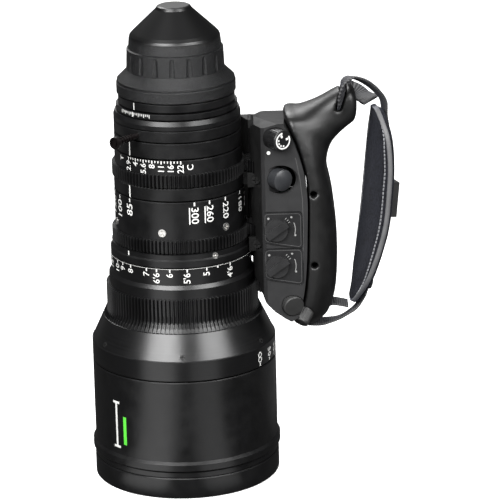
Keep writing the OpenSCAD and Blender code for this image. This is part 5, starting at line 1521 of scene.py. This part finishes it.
@dataclass
class Studio:
    """Camera, floor and soft lights."""

    focus: tuple[float, float, float] = (42.0, 0.0, 139.4)
    distance: float = 2000.0
    elevation: float = 17.4
    roll: float = 1.44
    pixels: float = 3273.0
    frame_pixels: float = 500.0
    sensor: float = 36.0
    floor_radius: float = 25.0
    floor_glow: float = 0.72
    sky_glow: float = 0.05
    lamps: tuple[tuple[str, float, float, float, tuple[float, float], float], ...] = (
        ("left_box", -30, 38, 1.5, (1.0, 0.9), 48),
        ("right_box", 42, 37, 1.5, (0.9, 0.9), 30),
        ("back_fill", 195, 45, 1.8, (1.0, 1.0), 22))
    cards: tuple[tuple[str, tuple[tuple[float, float, float], ...], float], ...] = (
        ("table_left", ((-0.02, -0.07, 0), (-0.09, -0.6, 0), (-0.5, -0.5, 0), (-0.06, -0.04, 0)), 1.4),
        ("table_right", ((0.02, -0.07, 0), (0.06, -0.6, 0), (0.4, -0.5, 0), (0.05, -0.05, 0)), 0.7),
        ("right_card", ((0.10, 0.04, 0), (1.4, 0.2, 0), (1.4, 2.2, 0), (0.10, 2.2, 0)), 0.12),
        ("left_card", ((-1.4, 0.3, 0), (-0.5, 0.3, 0), (-0.5, 2.2, 0), (-1.4, 2.2, 0)), 0.13))

    def build(self) -> None:
        """Make the camera, the floor and the lights."""
        self.camera()
        self.floor()
        self.lights()

    def camera(self) -> None:
        """Set the camera where the photograph was taken."""
        e, roll = math.radians(self.elevation), math.radians(self.roll)
        look = Vector((0, math.cos(e), -math.sin(e)))
        right, up = Vector((1, 0, 0)), Vector((0, math.sin(e), math.cos(e)))
        across = right * math.cos(roll) - up * math.sin(roll)
        upward = right * math.sin(roll) + up * math.cos(roll)
        lens = bpy.data.cameras.new("camera")
        lens.sensor_width = self.sensor
        lens.lens = self.pixels / self.frame_pixels * self.sensor
        lens.clip_start, lens.clip_end = 0.05, 60
        camera = bpy.data.objects.new("camera", lens)
        turn = Matrix((across, upward, -look)).transposed().to_4x4()
        camera.matrix_world = Matrix.Translation((Vector(self.focus) - look * self.distance) * MM) @ turn
        bpy.context.scene.collection.objects.link(camera)
        bpy.context.scene.camera = camera

    def floor(self) -> None:
        """Make the plain pale floor."""
        bm = bmesh.new()
        bmesh.ops.create_circle(bm, cap_ends=True, segments=96, radius=self.floor_radius)
        floor = mesh_object("floor", bm, smooth=False)
        floor.location.z = -0.0005
        graph = Graph("pale_floor")
        graph.feed("Base Color", graph.blend(graph.noise(400.0), (0.78, 0.78, 0.78), (0.82, 0.82, 0.82)))
        graph.fix({"Roughness": 0.9, "Emission Color": (1, 1, 1, 1), "Emission Strength": self.floor_glow})
        floor.data.materials.append(graph.material)
        floor.visible_glossy = floor.visible_diffuse = False

    def card(self, name: str, corners: Sequence[tuple[float, float, float]], strength: float) -> None:
        """Make a glowing card that only shows in reflections.

        Args:
            name: Name of the card.
            corners: Its corners, in metres.
            strength: How bright it is.
        """
        bm = bmesh.new()
        bm.faces.new([bm.verts.new(c) for c in corners])
        card = mesh_object(name, bm, smooth=False)
        graph = Graph(name)
        graph.fix({"Base Color": (0, 0, 0, 1), "Emission Color": (1, 1, 1, 1), "Emission Strength": strength})
        card.data.materials.append(graph.material)
        card.visible_camera = card.visible_diffuse = card.visible_shadow = card.visible_transmission = False

    def light(
        self, name: str, azimuth: float, elevation: float, distance: float, size: tuple[float, float], power: float
    ) -> None:
        """Hang a soft light.

        Args:
            name: Name of the light.
            azimuth: Where it hangs, 0 on the camera's side and 90 on the grip's side.
            elevation: Its height in degrees.
            distance: Its distance in metres.
            size: Its width and height in metres.
            power: Its power in watts.
        """
        lamp = bpy.data.lights.new(name, "AREA")
        lamp.shape, (lamp.size, lamp.size_y), lamp.energy = "RECTANGLE", size, power
        a, e = math.radians(azimuth), math.radians(elevation)
        back = Vector((math.sin(a) * math.cos(e), -math.cos(a) * math.cos(e), math.sin(e)))
        holder = bpy.data.objects.new(name, lamp)
        holder.location = Vector(self.focus) * MM + back * distance
        holder.rotation_euler = back.to_track_quat("Z", "Y").to_euler()
        bpy.context.scene.collection.objects.link(holder)

    def lights(self) -> None:
        """Hang the lights and set the reflecting cards."""
        world = bpy.context.scene.world or bpy.data.worlds.new("studio")
        bpy.context.scene.world = world
        world.use_nodes = True
        nodes = world.node_tree.nodes
        background = nodes.get("Background") or nodes.new("ShaderNodeBackground")
        background.inputs["Color"].default_value = (1, 1, 1, 1)
        background.inputs["Strength"].default_value = self.sky_glow
        for lamp in self.lamps:
            self.light(*lamp)
        for card in self.cards:
            self.card(*card)


def main() -> None:
    """Build the studio and dress every sub-assembly in order."""
    logging.basicConfig(level=logging.INFO, format="%(message)s")
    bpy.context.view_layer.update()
    bpy.context.scene.view_settings.view_transform = "Standard"
    lens = (FrontGroup, FocusGroup, ZoomGroup, IrisGroup, IndexLines, RearGroup)
    kinds = (Studio, *lens, DriveUnit, Grip, HandStrap)
    for kind in kinds:
        LOG.info("building %s", kind.__name__)
        kind().build()
    bpy.context.view_layer.update()


if __name__ == "__main__":
    main()
